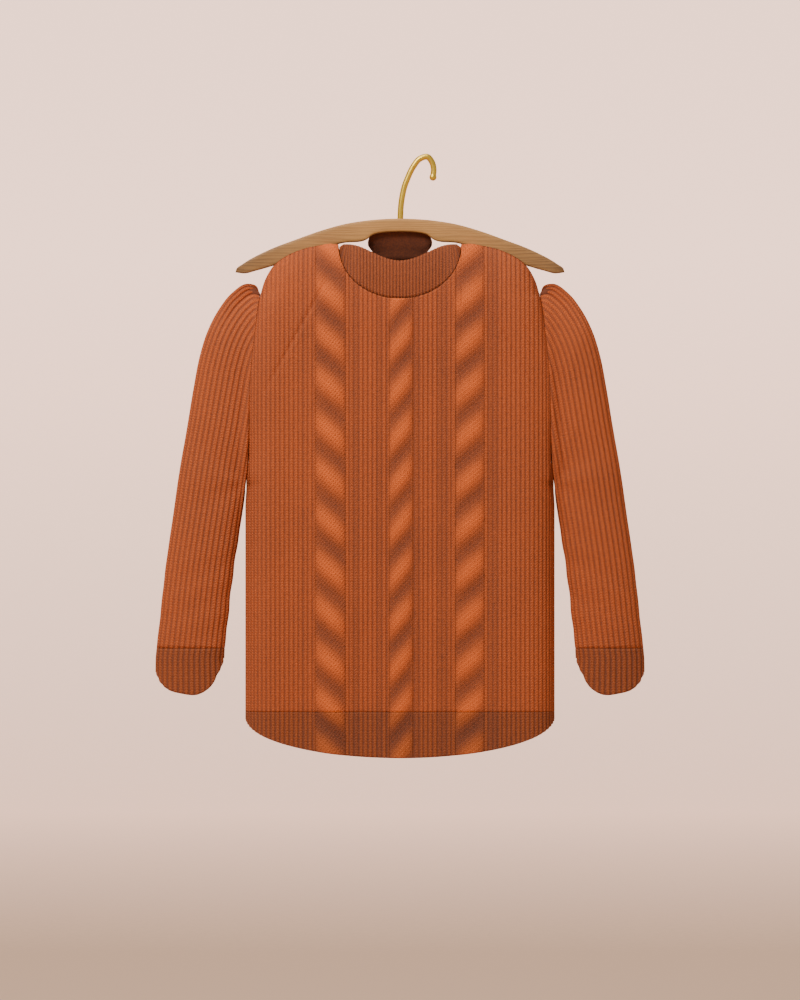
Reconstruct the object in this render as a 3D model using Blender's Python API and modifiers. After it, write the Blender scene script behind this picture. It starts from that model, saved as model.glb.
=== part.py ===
"""A ribbed fisherman sweater hanging on a wooden hanger with a brass hook.

The origin is the inside top of the hook, where a rail would carry it. +Z is up and the sweater's front
faces -Y. Sizes are in millimetres and become metres when a mesh is made. Half widths are measured from
the sweater's centreline, which hangs a little to the side of the hook's top.
"""

import math

import bmesh
import bpy
import numpy as np

MM = 0.001
SEAM_GAP = 0.3
HALF_GAP = SEAM_GAP / 2

# The centreline of sweater and hanger, from the hook's top.
CENTRE_X = -37.5

# Knit: a plain inner face, and ribs and cables raised on the outer face. They fade towards the armhole
# and shoulder, and keep their height down the side seam from a little below the underarm.
WALL = 2.6
RIB_PITCH = 6.3
RIB_RISE = 1.3
FIRST_RIB = -2.45
SLEEVE_RIB_PITCH = 7.2
NECK_RIB_PITCH = 4.5
RISE_FADE = 8.0
SIDE_FADE_BELOW = 4.0
SIDE_FADE = 30.0

# Body: half depth, how far the side rounds in, and the drop in which the depth swells below a line that
# falls gently from the neck to the shoulder's end.
HALF_WIDTH = 210.0
HALF_DEPTH = 36.0
SIDE_ROUND = 36.0
SWELL_TOP_Z = -113.0
SWELL_LEVEL_TO = 80.0
SWELL_FALL = 0.2
SHOULDER_DROP = 118.0
UNDERARM_Z = -441.3
NOTCH_Z = -185.5
HEM_SEAM_Z = -753.7
ARMHOLE_HALF_DEPTH = 26.0
SHOULDER_OPENS_ABOVE = 14.0
SHOULDER_OPENS_IN = 28.0

# Body edge, from the underarm up the armhole to the notch where sleeve and shoulder meet.
ARMHOLE_EDGE = (  # half width, height
    (210.0, UNDERARM_Z),
    (206.4, -407.0),
    (205.3, -352.0),
    (204.0, -301.0),
    (201.1, -264.5),
    (198.0, -237.0),
    (194.0, -204.0),
    (191.2, NOTCH_Z),
)
SHOULDER_EDGE = (  # half width, height
    (191.2, NOTCH_Z),
    (184.5, -164.2),
    (169.8, -142.0),
    (153.4, -130.8),
    (132.8, -122.2),
    (110.6, -117.4),
    (90.0, -115.4),
    (84.0, -115.3),
)

# Neckband: the front seam and the back seam are half ellipses, and the front rim is a bell curve.
NECK_HALF_WIDTH = 83.5
NECK_INSET = 0.75
NECK_TOP_Z = -120.0
FRONT_NECK_DROP = 70.9
FRONT_NECK_LOWEST_Z = NECK_TOP_Z - FRONT_NECK_DROP
BACK_NECK_DROP = 20.0
FRONT_RIM_HALF_WIDTH = 72.3
FRONT_RIM_TOP_Z = -115.9
FRONT_RIM_DROP = 22.8
FRONT_RIM_POWER = 2.2
FRONT_RIM_END = 77.0
SQUEEZE_FROM = 66.0
NECK_RIB_SHARE = 0.8
UNDER_BOARD_FROM = 60.0
UNDER_BOARD_RIB_SHARE = 0.25
BRIDGE_STEPS = 4
BACK_RIM = (  # half width, height
    (0.0, -97.5),
    (22.0, -98.5),
    (36.0, -101.5),
    (42.5, -106.5),
    (43.9, -112.5),
    (41.5, -118.0),
    (37.5, -124.0),
    (36.0, -128.5),
    (39.5, -131.5),
    (50.0, -129.0),
    (62.0, -122.5),
    (76.0, -117.0),
)
TAB_NECK = 7
TAB_NECK_SEAM = 29.0

# Hem: a shallow half ellipse below its seam.
HEM_SIDE_DROP = 7.2
HEM_CENTRE_DROP = 62.6

# Cables: centre from the centreline, half width, lean of the strands (mm down for each mm to the right).
CABLES = (  # centre, half width, lean
    (-94.8, 21.8, 0.8),
    (1.0, 17.4, -1.1),
    (94.8, 21.1, -0.8),
)
CABLE_PERIOD = 62.4
CABLE_CREST_Z = -247.9
CABLE_RISE = 4.6

# Sleeves: the outer fold from below the cuff seam to the notch, and the section's half depth.
SLEEVE_EDGE = (  # half width, height
    (336.0, -707.0),
    (331.5, -667.5),
    (327.0, -628.0),
    (321.2, -574.1),
    (302.0, -440.0),
    (294.8, -393.0),
    (288.0, -354.5),
    (280.6, -310.2),
    (272.5, -268.6),
    (261.8, -234.5),
    (246.5, -205.0),
    (229.0, -183.0),
    (209.0, -170.6),
    (197.5, -173.0),
    (191.2, NOTCH_Z),
)
CUFF_SEAM_Z = -667.5
SLEEVE_HALF_DEPTH = 22.0
SLEEVE_BLUNT = 0.78
SLEEVE_TURN_RADIUS = 112.0
ARMHOLE_BLEND = 110.0
UNDERARM_EXTRA = 0.8
CUFF_EDGES = (  # height, outer half width, inner half width
    (CUFF_SEAM_Z, 331.5, 239.0),
    (-681.0, 332.8, 241.4),
    (-732.0, 333.4, 241.4),
)
CUFF_RIM = (  # half width, height
    (241.4, -681.0),
    (244.1, -691.4),
    (250.9, -705.0),
    (258.5, -719.3),
    (276.1, -730.3),
    (298.6, -728.9),
    (316.4, -723.4),
    (327.3, -713.2),
    (333.4, -700.0),
)
CUFF_TAPER = 0.06

# Hanger board.
BOARD_HALF_THICK = 7.0
BOARD_TOP = (  # half width, height
    (0.0, -80.3),
    (23.2, -81.1),
    (49.2, -83.5),
    (75.3, -87.8),
    (106.6, -96.4),
    (141.4, -108.7),
    (179.6, -123.4),
    (215.0, -142.5),
    (223.5, -149.0),
    (225.0, -153.8),
)
BOARD_UNDERSIDE = (  # half width, height
    (225.0, -153.8),
    (212.7, -155.3),
    (197.0, -151.6),
    (169.2, -143.5),
    (124.0, -128.7),
    (78.8, -113.9),
    (45.7, -109.0),
    (37.0, -102.5),
    (22.0, -99.2),
    (0.0, -98.2),
)
BOARD_ROUNDING = 2.4
BOARD_CORNER_DEGREES = 50.0
HOLE_DEPTH = 12.0
HOLE_CLEARANCE = 0.35
HOLE_SHIFT = 0.4
CUTTER_ABOVE = 10.0

# Hook: its wire runs from the shank in the board to the centre of its round tip.
WIRE_RADIUS = 4.1
TIP_RADIUS = 5.0
HOOK_ROUTE = (  # x, height
    (-37.1, -91.8),
    (-37.0, -79.1),
    (-36.1, -62.0),
    (-34.0, -47.7),
    (-31.2, -36.0),
    (-27.4, -25.9),
    (-19.1, -8.9),
    (-10.4, 1.4),
    (0.0, 4.1),
    (6.4, -3.4),
    (8.6, -13.0),
    (7.6, -23.6),
)

# Colours of the four finishes.
BODY_RUST = (0.40, 0.085, 0.022, 1.0)
TRIM_RUST = (0.28, 0.062, 0.018, 1.0)
WOOD = (0.42, 0.24, 0.11, 1.0)
BRASS = (0.71, 0.50, 0.20, 1.0)

# Steps of the meshes.
EDGE_STEP = 9.0
ROW_HEIGHTS = (-455.0, -385.0, -320.0, -265.0, -218.0)
ROWS_BELOW_SHOULDER = (4.0, 14.0, 38.0)
ROWS_BELOW_NECK = (16.0, 44.0)
CABLE_ROWS = 4
CABLE_COLUMNS = 6
INNER_FLAT_TO = 165.0
INNER_STEP = 26.0
INNER_SIDE_COLUMNS = (178.0, 190.0, 199.0, 205.5, 208.8)
SLEEVE_ROWS = 10
SLEEVE_ROW_CROWDING = 1.7


def smooth_curve(points, per_span=16):
    """A cubic through the points: each span is a Hermite curve whose end slopes come from its neighbours."""
    points = np.array(points, float)
    spans = np.linalg.norm(np.diff(points, axis=0), axis=1)
    at = np.concatenate([[0.0], np.cumsum(spans)])
    slopes = np.gradient(points, at, axis=0)
    where = np.unique(np.concatenate([np.linspace(a, b, per_span) for a, b in zip(at[:-1], at[1:])]))
    index = np.clip(np.searchsorted(at, where, side="right") - 1, 0, len(spans) - 1)
    width = spans[index][:, None]
    t = (where - at[index])[:, None] / width
    first, last = points[index], points[index + 1]
    start, end = slopes[index] * width, slopes[index + 1] * width
    return (
        first * (2 * t**3 - 3 * t**2 + 1)
        + start * (t**3 - 2 * t**2 + t)
        + last * (3 * t**2 - 2 * t**3)
        + end * (t**3 - t**2)
    )


def ease(t):
    """0 to 1 with level ends."""
    t = np.clip(t, 0.0, 1.0)
    return t * t * (3 - 2 * t)


def lengths_along(points):
    return np.concatenate([[0.0], np.cumsum(np.linalg.norm(np.diff(points, axis=0), axis=1))])


ARMHOLE = smooth_curve(ARMHOLE_EDGE)
SHOULDER = smooth_curve(SHOULDER_EDGE)
SIDE = np.concatenate([ARMHOLE, SHOULDER[1:]])


def side_half_width(z):
    """The body's half width at a height: straight below the underarm, then armhole and shoulder."""
    return np.interp(z, SIDE[:, 1], SIDE[:, 0])


def shoulder_line(u):
    """The height where the depth starts to swell below the shoulder."""
    return SWELL_TOP_Z - SWELL_FALL * np.clip(u - SWELL_LEVEL_TO, 0.0, None)


def armhole_share(z):
    """How far down the armhole a height is, from 0 at the notch to 1 at the underarm."""
    return np.clip((NOTCH_Z - z) / (NOTCH_Z - UNDERARM_Z), 0.0, 1.0)


def edge_depth(z):
    """The panel's depth at its edge: closed on the side seam, an ellipse at the armhole, and the
    board's face at the shoulder."""
    share = armhole_share(z)
    armhole = (ARMHOLE_HALF_DEPTH - HALF_GAP) * np.sqrt(4 * share * (1 - share))
    opened = ease((z - NOTCH_Z - SHOULDER_OPENS_ABOVE) / SHOULDER_OPENS_IN)
    shoulder = (BOARD_HALF_THICK + SEAM_GAP - HALF_GAP) * opened
    return HALF_GAP + armhole + shoulder


def body_depth(x, z):
    """How far the base of the knit lies from the garment's middle plane. From the edge it swells in a
    quarter ellipse, and below the shoulders in another."""
    u = np.abs(x)
    share = armhole_share(z)
    below = np.clip((shoulder_line(u) - z) / SHOULDER_DROP, 0.0, 1.0)
    face = BOARD_HALF_THICK + SEAM_GAP
    full = face + (HALF_DEPTH - face) * np.sqrt(1 - (1 - below) ** 2)
    inward = np.clip((side_half_width(z) - u) / SIDE_ROUND, 0.0, 1.0)
    power = 0.5 + 0.4 * ease(4 * share * (1 - share))
    edge = edge_depth(z)
    return edge + (np.maximum(full, edge) - edge) * (1 - (1 - inward) ** 2) ** power


def body_normal(x, z, step=0.05):
    """The outward direction on the front, from differences of the depth just inside the edge."""
    limit = side_half_width(z) - 1.5 * step
    xi = np.clip(x, -limit, limit)
    zi = np.minimum(z, outline_top(xi) - 1.5 * step)
    slope_x = (body_depth(xi + step, zi) - body_depth(xi - step, zi)) / (2 * step)
    slope_z = (body_depth(xi, zi + step) - body_depth(xi, zi - step)) / (2 * step)
    normal = np.stack([-slope_x, -np.ones_like(slope_x), -slope_z], axis=-1)
    return normal / np.linalg.norm(normal, axis=-1, keepdims=True)


def outline_top(x):
    """The highest the body or the neckband reaches at a distance from the centreline."""
    return np.interp(np.abs(x), SHOULDER[::-1, 0], SHOULDER[::-1, 1])


def neck_seam(x, drop, inset=0.0):
    """The lower half of an ellipse; inset makes it smaller all round."""
    share = x / (NECK_HALF_WIDTH - inset)
    return NECK_TOP_Z - (drop - inset) * np.sqrt(np.clip(1 - share**2, 0.0, 1.0))


def panel_edge(drop):
    """A panel's upper edge from its left underarm over shoulder and neck seam to its right underarm."""
    neck_angle = np.linspace(0.0, math.pi / 2, 30)
    neck = np.stack(
        [NECK_HALF_WIDTH * np.cos(neck_angle), NECK_TOP_Z - drop * np.sin(neck_angle)], axis=1
    )
    half = np.concatenate([SIDE, neck])
    left = half * (-1, 1)
    return np.concatenate([left, half[::-1][1:]])


def girth_table():
    """(half width, girth from the centreline) of the section below the underarm."""
    turn = np.linspace(0.0, math.pi / 2, 200)
    rounded = np.stack(
        [HALF_WIDTH - SIDE_ROUND * (1 - np.sin(turn)), HALF_GAP + (HALF_DEPTH - HALF_GAP) * np.cos(turn)],
        axis=1,
    )
    girth = HALF_WIDTH - SIDE_ROUND + lengths_along(rounded)
    return np.concatenate([[0.0], rounded[:, 0]]), np.concatenate([[0.0], girth])


GIRTH_X, GIRTH = girth_table()


def in_cable(x, cables):
    return any(abs(x - centre) < half - 0.5 for centre, half, _ in cables)


def panel_columns(cables):
    """The distances of the outer face's columns: two for each rib, a few across each cable."""
    count = int(GIRTH[-1] / (RIB_PITCH / 2))
    steps = FIRST_RIB + RIB_PITCH / 2 * np.arange(-count - 2, count + 3)
    steps = steps[np.abs(steps) < GIRTH[-1] - 1.0]
    ribs = np.sign(steps) * np.interp(np.abs(steps), GIRTH, GIRTH_X)
    columns = [x for x in ribs if not in_cable(x, cables)]
    for centre, half, _ in cables:
        columns += list(np.linspace(centre - half, centre + half, CABLE_COLUMNS))
    columns = sorted(columns)
    kept = [-HALF_WIDTH] + [x for i, x in enumerate(columns) if i == 0 or x - columns[i - 1] > 0.05]
    return np.array(kept + [HALF_WIDTH])


def rise(x, z, cables):
    """How far ribs and cables stand out of the knit's base."""
    u = np.abs(x)
    girth = np.sign(x) * np.interp(u, GIRTH_X, GIRTH)
    height = RIB_RISE * (0.5 + 0.5 * np.cos(2 * math.pi * (girth - FIRST_RIB) / RIB_PITCH))
    for centre, half, lean in cables:
        across = np.clip(np.abs(x - centre) / half, 0.0, 1.0)
        wave = 0.5 + 0.5 * np.cos(2 * math.pi * (z - CABLE_CREST_Z + lean * (x - centre)) / CABLE_PERIOD)
        rope = CABLE_RISE * (0.25 + 0.75 * wave**0.8) * (1 - across**2) ** 0.6
        height = np.where(np.abs(x - centre) < half, rope, height)
    clear = ease((side_half_width(z) - u) / RISE_FADE)
    below_underarm = ease((UNDERARM_Z - SIDE_FADE_BELOW - z) / SIDE_FADE)
    return height * np.maximum(clear, below_underarm)


def on_body(x, z, lift, back):
    """Points of the body's surface, moved out by lift along its normal."""
    x, z = np.broadcast_arrays(np.asarray(x, float), np.asarray(z, float))
    normal = body_normal(x, z)
    points = np.stack([x, -body_depth(x, z), z], axis=-1) + normal * np.expand_dims(lift, -1)
    points[..., 1] = np.minimum(points[..., 1], -np.minimum(edge_depth(z), BOARD_HALF_THICK + SEAM_GAP))
    if back:
        points[..., 1] *= -1
    return points


class Wall:
    """A closed wall of cloth that grows point by point and strip by strip."""

    def __init__(self):
        self.points = []
        self.faces = []

    def add(self, points):
        start = len(self.points)
        self.points.extend(np.asarray(points, float).reshape(-1, 3))
        return list(range(start, len(self.points)))

    def strip(self, left, left_at, right, right_at, flip=False):
        """Triangles between two chains that run the same way, each step taken where it comes first."""
        i = j = 0
        while i < len(left) - 1 or j < len(right) - 1:
            step_left = j == len(right) - 1 or (i < len(left) - 1 and left_at[i + 1] <= right_at[j + 1])
            if step_left:
                face = (left[i], right[j], left[i + 1])
                i += 1
            else:
                face = (left[i], right[j], right[j + 1])
                j += 1
            self.faces.append(face[::-1] if flip else face)

    def mesh(self, name, flip=False):
        mesh = bpy.data.meshes.new(name)
        faces = [face[::-1] for face in self.faces] if flip else self.faces
        points = (np.array(self.points) + (CENTRE_X, 0.0, 0.0)) * MM
        mesh.from_pydata(points.tolist(), [], faces)
        mesh.update()
        return mesh


def sheet(wall, columns, rows_of, edge, lift_of, flip):
    """One face of a panel: columns of points up to the edge, the edge's own points between their tops,
    and strips between neighbours. It returns the four chains of its border, each with where its points
    lie on it."""
    edge_at = lengths_along(edge)
    tops_at = np.interp(columns, edge[:, 0], edge_at)
    tops = np.interp(tops_at, edge_at, edge[:, 1])
    chains = []
    for x, top in zip(columns, tops):
        heights = np.array(rows_of(x, top))
        chains.append((wall.add(lift_of(np.full(len(heights), x), heights)), list(heights)))
    border, border_at = [chains[0][0][-1]], [tops_at[0]]
    corner_at = edge_at[np.isin(edge[:, 1], (NOTCH_Z, SHOULDER[-1, 1]))]
    for i in range(len(columns) - 1):
        (left, left_z), (right, right_z) = chains[i], chains[i + 1]
        a, b = tops_at[i], tops_at[i + 1]
        stops = np.linspace(a, b, max(1, math.ceil((b - a) / EDGE_STEP)) + 1)[1:-1]
        corners = corner_at[(corner_at > a + 0.5) & (corner_at < b - 0.5)]
        stops = np.unique(np.concatenate([stops, corners]))
        if len(corners):
            far = [np.abs(corners - stop).min() > 0.8 or np.isin(stop, corners) for stop in stops]
            stops = stops[far]
        more = []
        if len(stops):
            x, z = (np.interp(stops, edge_at, edge[:, axis]) for axis in (0, 1))
            more = wall.add(lift_of(x, z))
            if tops[i + 1] > tops[i]:
                left, left_z = left + more, left_z + list(z)
            else:
                right, right_z = right + more[::-1], right_z + list(z[::-1])
        border += more + [chains[i + 1][0][-1]]
        border_at += list(stops) + [b]
        wall.strip(left, left_z, right, right_z, flip)
    bottom = [chain[0] for chain, _ in chains]
    return (bottom, list(columns)), (border, border_at), chains[0], chains[-1]


def close_panel(wall, outer, inner):
    """Joins the borders of a panel's two faces round its cut edges."""
    (bottom, top, left, right), (in_bottom, in_top, in_left, in_right) = outer, inner
    wall.strip(*bottom, *in_bottom, flip=False)
    wall.strip(*top, *in_top, flip=True)
    wall.strip(*left, *in_left, flip=True)
    wall.strip(*right, *in_right, flip=False)


def build_panel(name, edge, bottom_of, cables, back):
    """A front or back panel: its outer face carries ribs and cables, its inner face is plain."""
    wall = Wall()

    def rows(x, top, cable_rows):
        bottom = float(bottom_of(x))
        drops = ROWS_BELOW_NECK if abs(x) < NECK_HALF_WIDTH else ROWS_BELOW_SHOULDER
        near = [top - drop for drop in drops if top > FRONT_NECK_LOWEST_Z + 20.0]
        lowest = min(near) if near else top
        heights = [z for z in ROW_HEIGHTS if bottom + 8.0 < z < lowest - 12.0]
        if cable_rows:
            step = CABLE_PERIOD / CABLE_ROWS
            first = math.ceil((bottom + 4.0 - CABLE_CREST_Z) / step)
            last = math.floor((lowest - 4.0 - CABLE_CREST_Z) / step)
            heights = [CABLE_CREST_Z + step * i for i in range(first, last + 1)]
        return [bottom] + sorted(heights + near) + [top]

    def cable_here(x):
        return any(abs(x - centre) < half + 0.01 for centre, half, _ in cables)

    def outer_lift(x, z):
        return on_body(x, z, rise(x, z, cables), back)

    def inner_lift(x, z):
        return on_body(x, z, np.full(np.shape(x), -WALL), back)

    outer = sheet(
        wall, panel_columns(cables), lambda x, top: rows(x, top, cable_here(x)), edge, outer_lift, False
    )
    flat = np.linspace(-INNER_FLAT_TO, INNER_FLAT_TO, int(2 * INNER_FLAT_TO / INNER_STEP) + 1)
    sides = np.array(INNER_SIDE_COLUMNS)
    inner_columns = np.concatenate([[-HALF_WIDTH], -sides[::-1], flat, sides, [HALF_WIDTH]])
    inner = sheet(wall, inner_columns, lambda x, top: rows(x, top, False), edge, inner_lift, True)
    close_panel(wall, outer, inner)
    return wall.mesh(name, flip=back)


def hem_bottom(x):
    """The hem's cut edge: a half ellipse that is deepest at the centreline."""
    swell = np.sqrt(np.clip(1 - (x / (HALF_WIDTH + 0.5)) ** 2, 0.0, 1.0))
    return HEM_SEAM_Z - HEM_SIDE_DROP - (HEM_CENTRE_DROP - HEM_SIDE_DROP) * swell


def level_edge(z):
    return np.array([(-HALF_WIDTH, z), (0.0, z), (HALF_WIDTH, z)])


def ring_wall(name, outer, inner_of, flip=False):
    """A closed wall from a grid of points: rows run along the tube, columns go once round it. The inner
    face takes every second column."""
    wall = Wall()
    rows, around = outer.shape[:2]
    kept = np.arange(0, around, 2)
    inner = inner_of[:, kept]
    outer_id = np.array(wall.add(outer)).reshape(rows, around)
    inner_id = np.array(wall.add(inner)).reshape(rows, len(kept))
    for ids, turned in ((outer_id, False), (inner_id, True)):
        for row in range(rows - 1):
            for col in range(ids.shape[1]):
                after = (col + 1) % ids.shape[1]
                quad = (ids[row, col], ids[row, after], ids[row + 1, after], ids[row + 1, col])
                wall.faces.append(quad[::-1] if turned else quad)
    for row, turned in ((0, True), (rows - 1, False)):
        outside = list(outer_id[row]) + [outer_id[row, 0]]
        inside = list(inner_id[row]) + [inner_id[row, 0]]
        wall.strip(inside, list(kept) + [around], outside, list(range(around + 1)), turned)
    return wall.mesh(name, flip)


def grid_normals(grid):
    """Outward directions on a grid whose columns close round a tube, with rows running up."""
    around = np.roll(grid, -1, axis=1) - np.roll(grid, 1, axis=1)
    along = np.gradient(grid, axis=0)
    normal = np.cross(around, along)
    return normal / np.linalg.norm(normal, axis=-1, keepdims=True)


SLEEVE_FOLD = smooth_curve(SLEEVE_EDGE)
SLEEVE_FOLD_AT = lengths_along(SLEEVE_FOLD)


def armhole_gap(z):
    """The seam's gap, a little wider at the underarm where sleeve and side meet at a sharp angle."""
    return SEAM_GAP + UNDERARM_EXTRA * ease((armhole_share(z) - 0.6) / 0.4)


def sleeve_width():
    """The sleeve's width: from the underarm point square to the outer fold."""
    underarm = (HALF_WIDTH + armhole_gap(UNDERARM_Z), UNDERARM_Z)
    return np.linalg.norm(SLEEVE_FOLD - underarm, axis=1).min()


def section_turns(count, half_width, half_depth):
    """Angles round a blunt oval, from the outer fold, at equal steps of its girth."""
    turn = np.linspace(0.0, math.pi, 400)
    oval = np.stack(
        [half_width * -np.cos(turn), half_depth * np.sin(turn).clip(0) ** SLEEVE_BLUNT], axis=1
    )
    girth = lengths_along(oval)
    return np.interp(np.linspace(0.0, girth[-1], count + 1), girth, turn)


def sleeve_turns():
    """(share of the width from the outer fold, signed share of the depth) of the sleeve's columns."""
    half_girth = math.pi * (sleeve_width() / 2 + SLEEVE_HALF_DEPTH) / 2
    ribs = round(half_girth / SLEEVE_RIB_PITCH)
    turn = section_turns(2 * ribs, sleeve_width() / 2, SLEEVE_HALF_DEPTH)
    turn = np.concatenate([turn, 2 * math.pi - turn[-2:0:-1]])
    share = (1 - np.cos(turn)) / 2
    depth = np.sign(np.sin(turn)) * np.abs(np.sin(turn)) ** SLEEVE_BLUNT
    depth[np.abs(np.sin(turn)) < 1e-9] = 0.0
    return share, depth


def inward_directions():
    """Directions square to the outer fold, at its points. They turn no faster than on a circle wider
    than the sleeve, so that the columns don't cross at the cap."""
    slope = np.gradient(SLEEVE_FOLD, SLEEVE_FOLD_AT, axis=0)
    inward = np.stack([-slope[:, 1], slope[:, 0]], axis=1)
    inward *= -np.sign(inward[0, 0])
    angle = np.unwrap(np.arctan2(inward[:, 1], inward[:, 0]))
    most = np.diff(SLEEVE_FOLD_AT) / SLEEVE_TURN_RADIUS
    angle = angle[0] + np.append(0.0, np.cumsum(np.clip(np.diff(angle), -most, most)))
    return np.stack([np.cos(angle), np.sin(angle)], axis=1)


def sleeve_grid():
    """The sleeve's base: each column keeps its distance from the outer fold, starts level at the cuff
    seam and ends on the armhole, where its depth takes the armhole's."""
    inward = inward_directions()
    share, depth = sleeve_turns()
    columns = []
    for part, deep in zip(share, depth):
        path = SLEEVE_FOLD + inward * part * sleeve_width()
        start = np.interp(CUFF_SEAM_Z + HALF_GAP, path[:, 1], SLEEVE_FOLD_AT)
        free = path[:, 0] - side_half_width(path[:, 1]) - armhole_gap(path[:, 1])
        below = (path[:, 1] < UNDERARM_Z) | (free > 0)
        last = len(path) - 1 if below.all() else int(np.argmin(below))
        before = max(last - 1, 0)
        span = free[before] - free[last]
        end = SLEEVE_FOLD_AT[last]
        if not below.all() and free[before] > 0 and span > 1e-6:
            end = np.interp(free[before] / span, (0.0, 1.0), SLEEVE_FOLD_AT[[before, last]])
        at = start + (end - start) * (1 - np.linspace(1.0, 0.0, SLEEVE_ROWS) ** SLEEVE_ROW_CROWDING)
        u, z = (np.interp(at, SLEEVE_FOLD_AT, path[:, axis]) for axis in (0, 1))
        u[-1] = side_half_width(z[-1]) + armhole_gap(z[-1])
        base = np.full(SLEEVE_ROWS, SLEEVE_HALF_DEPTH * abs(deep))
        armhole = edge_depth(np.clip(z[-1], UNDERARM_Z, NOTCH_Z))
        near = ease(1 - (at[-1] - at) / ARMHOLE_BLEND)
        y = base + (armhole - base) * near if abs(deep) > 1e-6 else np.zeros(SLEEVE_ROWS)
        columns.append(np.stack([u, -np.sign(deep) * y, z], axis=1))
    return np.stack(columns, axis=1)


def mirrored(grid, side):
    return grid * (side, 1.0, 1.0)


def rib_rise(around, fade):
    """Ribs on a tube: every second column stands out."""
    return (np.arange(around) % 2 == 0) * RIB_RISE * fade


def build_sleeve(name, side):
    grid = sleeve_grid()
    normal = -grid_normals(grid)
    rows = grid.shape[0]
    fade = ease(np.linspace(rows - 1.0, 0.0, rows) / 3.0)[:, None]
    outer = grid + normal * (rib_rise(grid.shape[1], fade))[..., None]
    inner = grid - normal * WALL
    outer[-1, :, 0] = grid[-1, :, 0]
    inner[-1, :, 0] = side_half_width(inner[-1, :, 2]) + armhole_gap(inner[-1, :, 2])
    outer[0, :, 2] = grid[0, :, 2]
    inner[0, :, 2] = grid[0, :, 2]
    return ring_wall(name, mirrored(outer, side), mirrored(inner, side), flip=side > 0)


def build_cuff(name, side):
    """The ribbed cuff below its seam, whose free rim dips at the middle of its front and back."""
    top = sleeve_grid()[0]
    heights = np.array([row[0] for row in CUFF_EDGES])[::-1]
    outer_edge = np.array([row[1] for row in CUFF_EDGES])[::-1]
    inner_edge = np.array([row[2] for row in CUFF_EDGES])[::-1]
    share = (top[:, 0] - top[:, 0].max()) / (top[:, 0].min() - top[:, 0].max())
    rim = smooth_curve(CUFF_RIM)
    low = np.interp(outer_edge[0] * (1 - share) + inner_edge[0] * share, rim[:, 0], rim[:, 1])
    rows = []
    for step in (1.0, 0.5, 0.0):
        z = CUFF_SEAM_Z - HALF_GAP + (low - CUFF_SEAM_Z) * step
        u = np.interp(z, heights, outer_edge) * (1 - share) + np.interp(z, heights, inner_edge) * share
        u += (top[:, 0] - (outer_edge[-1] * (1 - share) + inner_edge[-1] * share)) * (1 - step)
        rows.append(np.stack([u, top[:, 1] * (1 - CUFF_TAPER * step), z], axis=1))
    grid = np.stack(rows)
    normal = -grid_normals(grid)
    outer = grid + normal * rib_rise(grid.shape[1], np.ones((len(grid), 1)))[..., None]
    inner = grid - normal * WALL
    outer[-1, :, 2] = grid[-1, :, 2]
    inner[-1, :, 2] = grid[-1, :, 2]
    return ring_wall(name, mirrored(outer, side), mirrored(inner, side), flip=side > 0)


def neck_stations(drop, count, back):
    """Points from the seam to the rim, for stations across the front or the back of the neck."""
    reach = NECK_HALF_WIDTH - NECK_INSET
    seam_x = np.linspace(-reach, reach, count)
    if back:
        half = smooth_curve(BACK_RIM)
        along = lengths_along(half)
        tab_neck = along[np.argmin(np.linalg.norm(half - BACK_RIM[TAB_NECK], axis=1))]
        place = np.interp(np.abs(seam_x), (0.0, TAB_NECK_SEAM, reach), (0.0, tab_neck, along[-1]))
        rim_x, rim_z = (np.interp(place, along, half[:, axis]) for axis in (0, 1))
        rim_x *= np.sign(seam_x)
    else:
        squeeze = ease((np.abs(seam_x) - SQUEEZE_FROM) / (reach - SQUEEZE_FROM))
        rim_x = seam_x - np.sign(seam_x) * squeeze * (reach - FRONT_RIM_END)
        bell = np.clip(1 - (rim_x / FRONT_RIM_HALF_WIDTH) ** 2, 0.0, 1.0) ** FRONT_RIM_POWER
        rim_z = FRONT_RIM_TOP_Z - FRONT_RIM_DROP * bell
    seam_z = neck_seam(seam_x, drop, NECK_INSET)
    rows = []
    for step in (0.0, 0.5, 1.0):
        x = seam_x + (rim_x - seam_x) * step
        z = seam_z + (rim_z - seam_z) * step
        y = body_depth(x, z)
        if back:
            y = np.maximum(y, BOARD_HALF_THICK + 2 * SEAM_GAP + WALL * min(1.0, 2 * step))
        rows.append(np.stack([x, y if back else -y, z], axis=1))
    return np.stack(rows)


def build_neckband(name):
    """The doubled rib round the neck. It passes under the board between the two shoulders."""
    count = 2 * round(2 * NECK_HALF_WIDTH / NECK_RIB_PITCH) + 1
    front = neck_stations(FRONT_NECK_DROP, count, False)
    back = neck_stations(BACK_NECK_DROP, count, True)[:, ::-1]
    bridges = []
    for first, last in ((front[:, -1], back[:, 0]), (back[:, -1], front[:, 0])):
        steps = np.linspace(0.0, 1.0, BRIDGE_STEPS + 1)[1:-1, None, None]
        bridges.append(np.swapaxes(first + (last - first) * steps, 0, 1))
    grid = np.concatenate([front, bridges[0], back, bridges[1]], axis=1)
    normal = grid_normals(grid)
    under_board = np.abs(grid[..., 0]) > UNDER_BOARD_FROM
    share = np.where(under_board, UNDER_BOARD_RIB_SHARE, 1.0)
    outer = grid + normal * (rib_rise(grid.shape[1], NECK_RIB_SHARE) * share)[..., None]
    inner = grid - normal * WALL
    return ring_wall(name, outer, inner)


def material(name, colour, roughness, metallic=0.0):
    made = bpy.data.materials.new(name)
    made.use_nodes = True
    shader = made.node_tree.nodes["Principled BSDF"]
    shader.inputs["Base Color"].default_value = colour
    shader.inputs["Roughness"].default_value = roughness
    shader.inputs["Metallic"].default_value = metallic
    return made


def place(name, mesh, finish, collection):
    made = bpy.data.objects.new(name, mesh)
    made.data.materials.append(finish)
    mesh.shade_smooth()
    mesh.set_sharp_from_angle(angle=math.radians(40))
    collection.objects.link(made)
    return made


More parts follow.
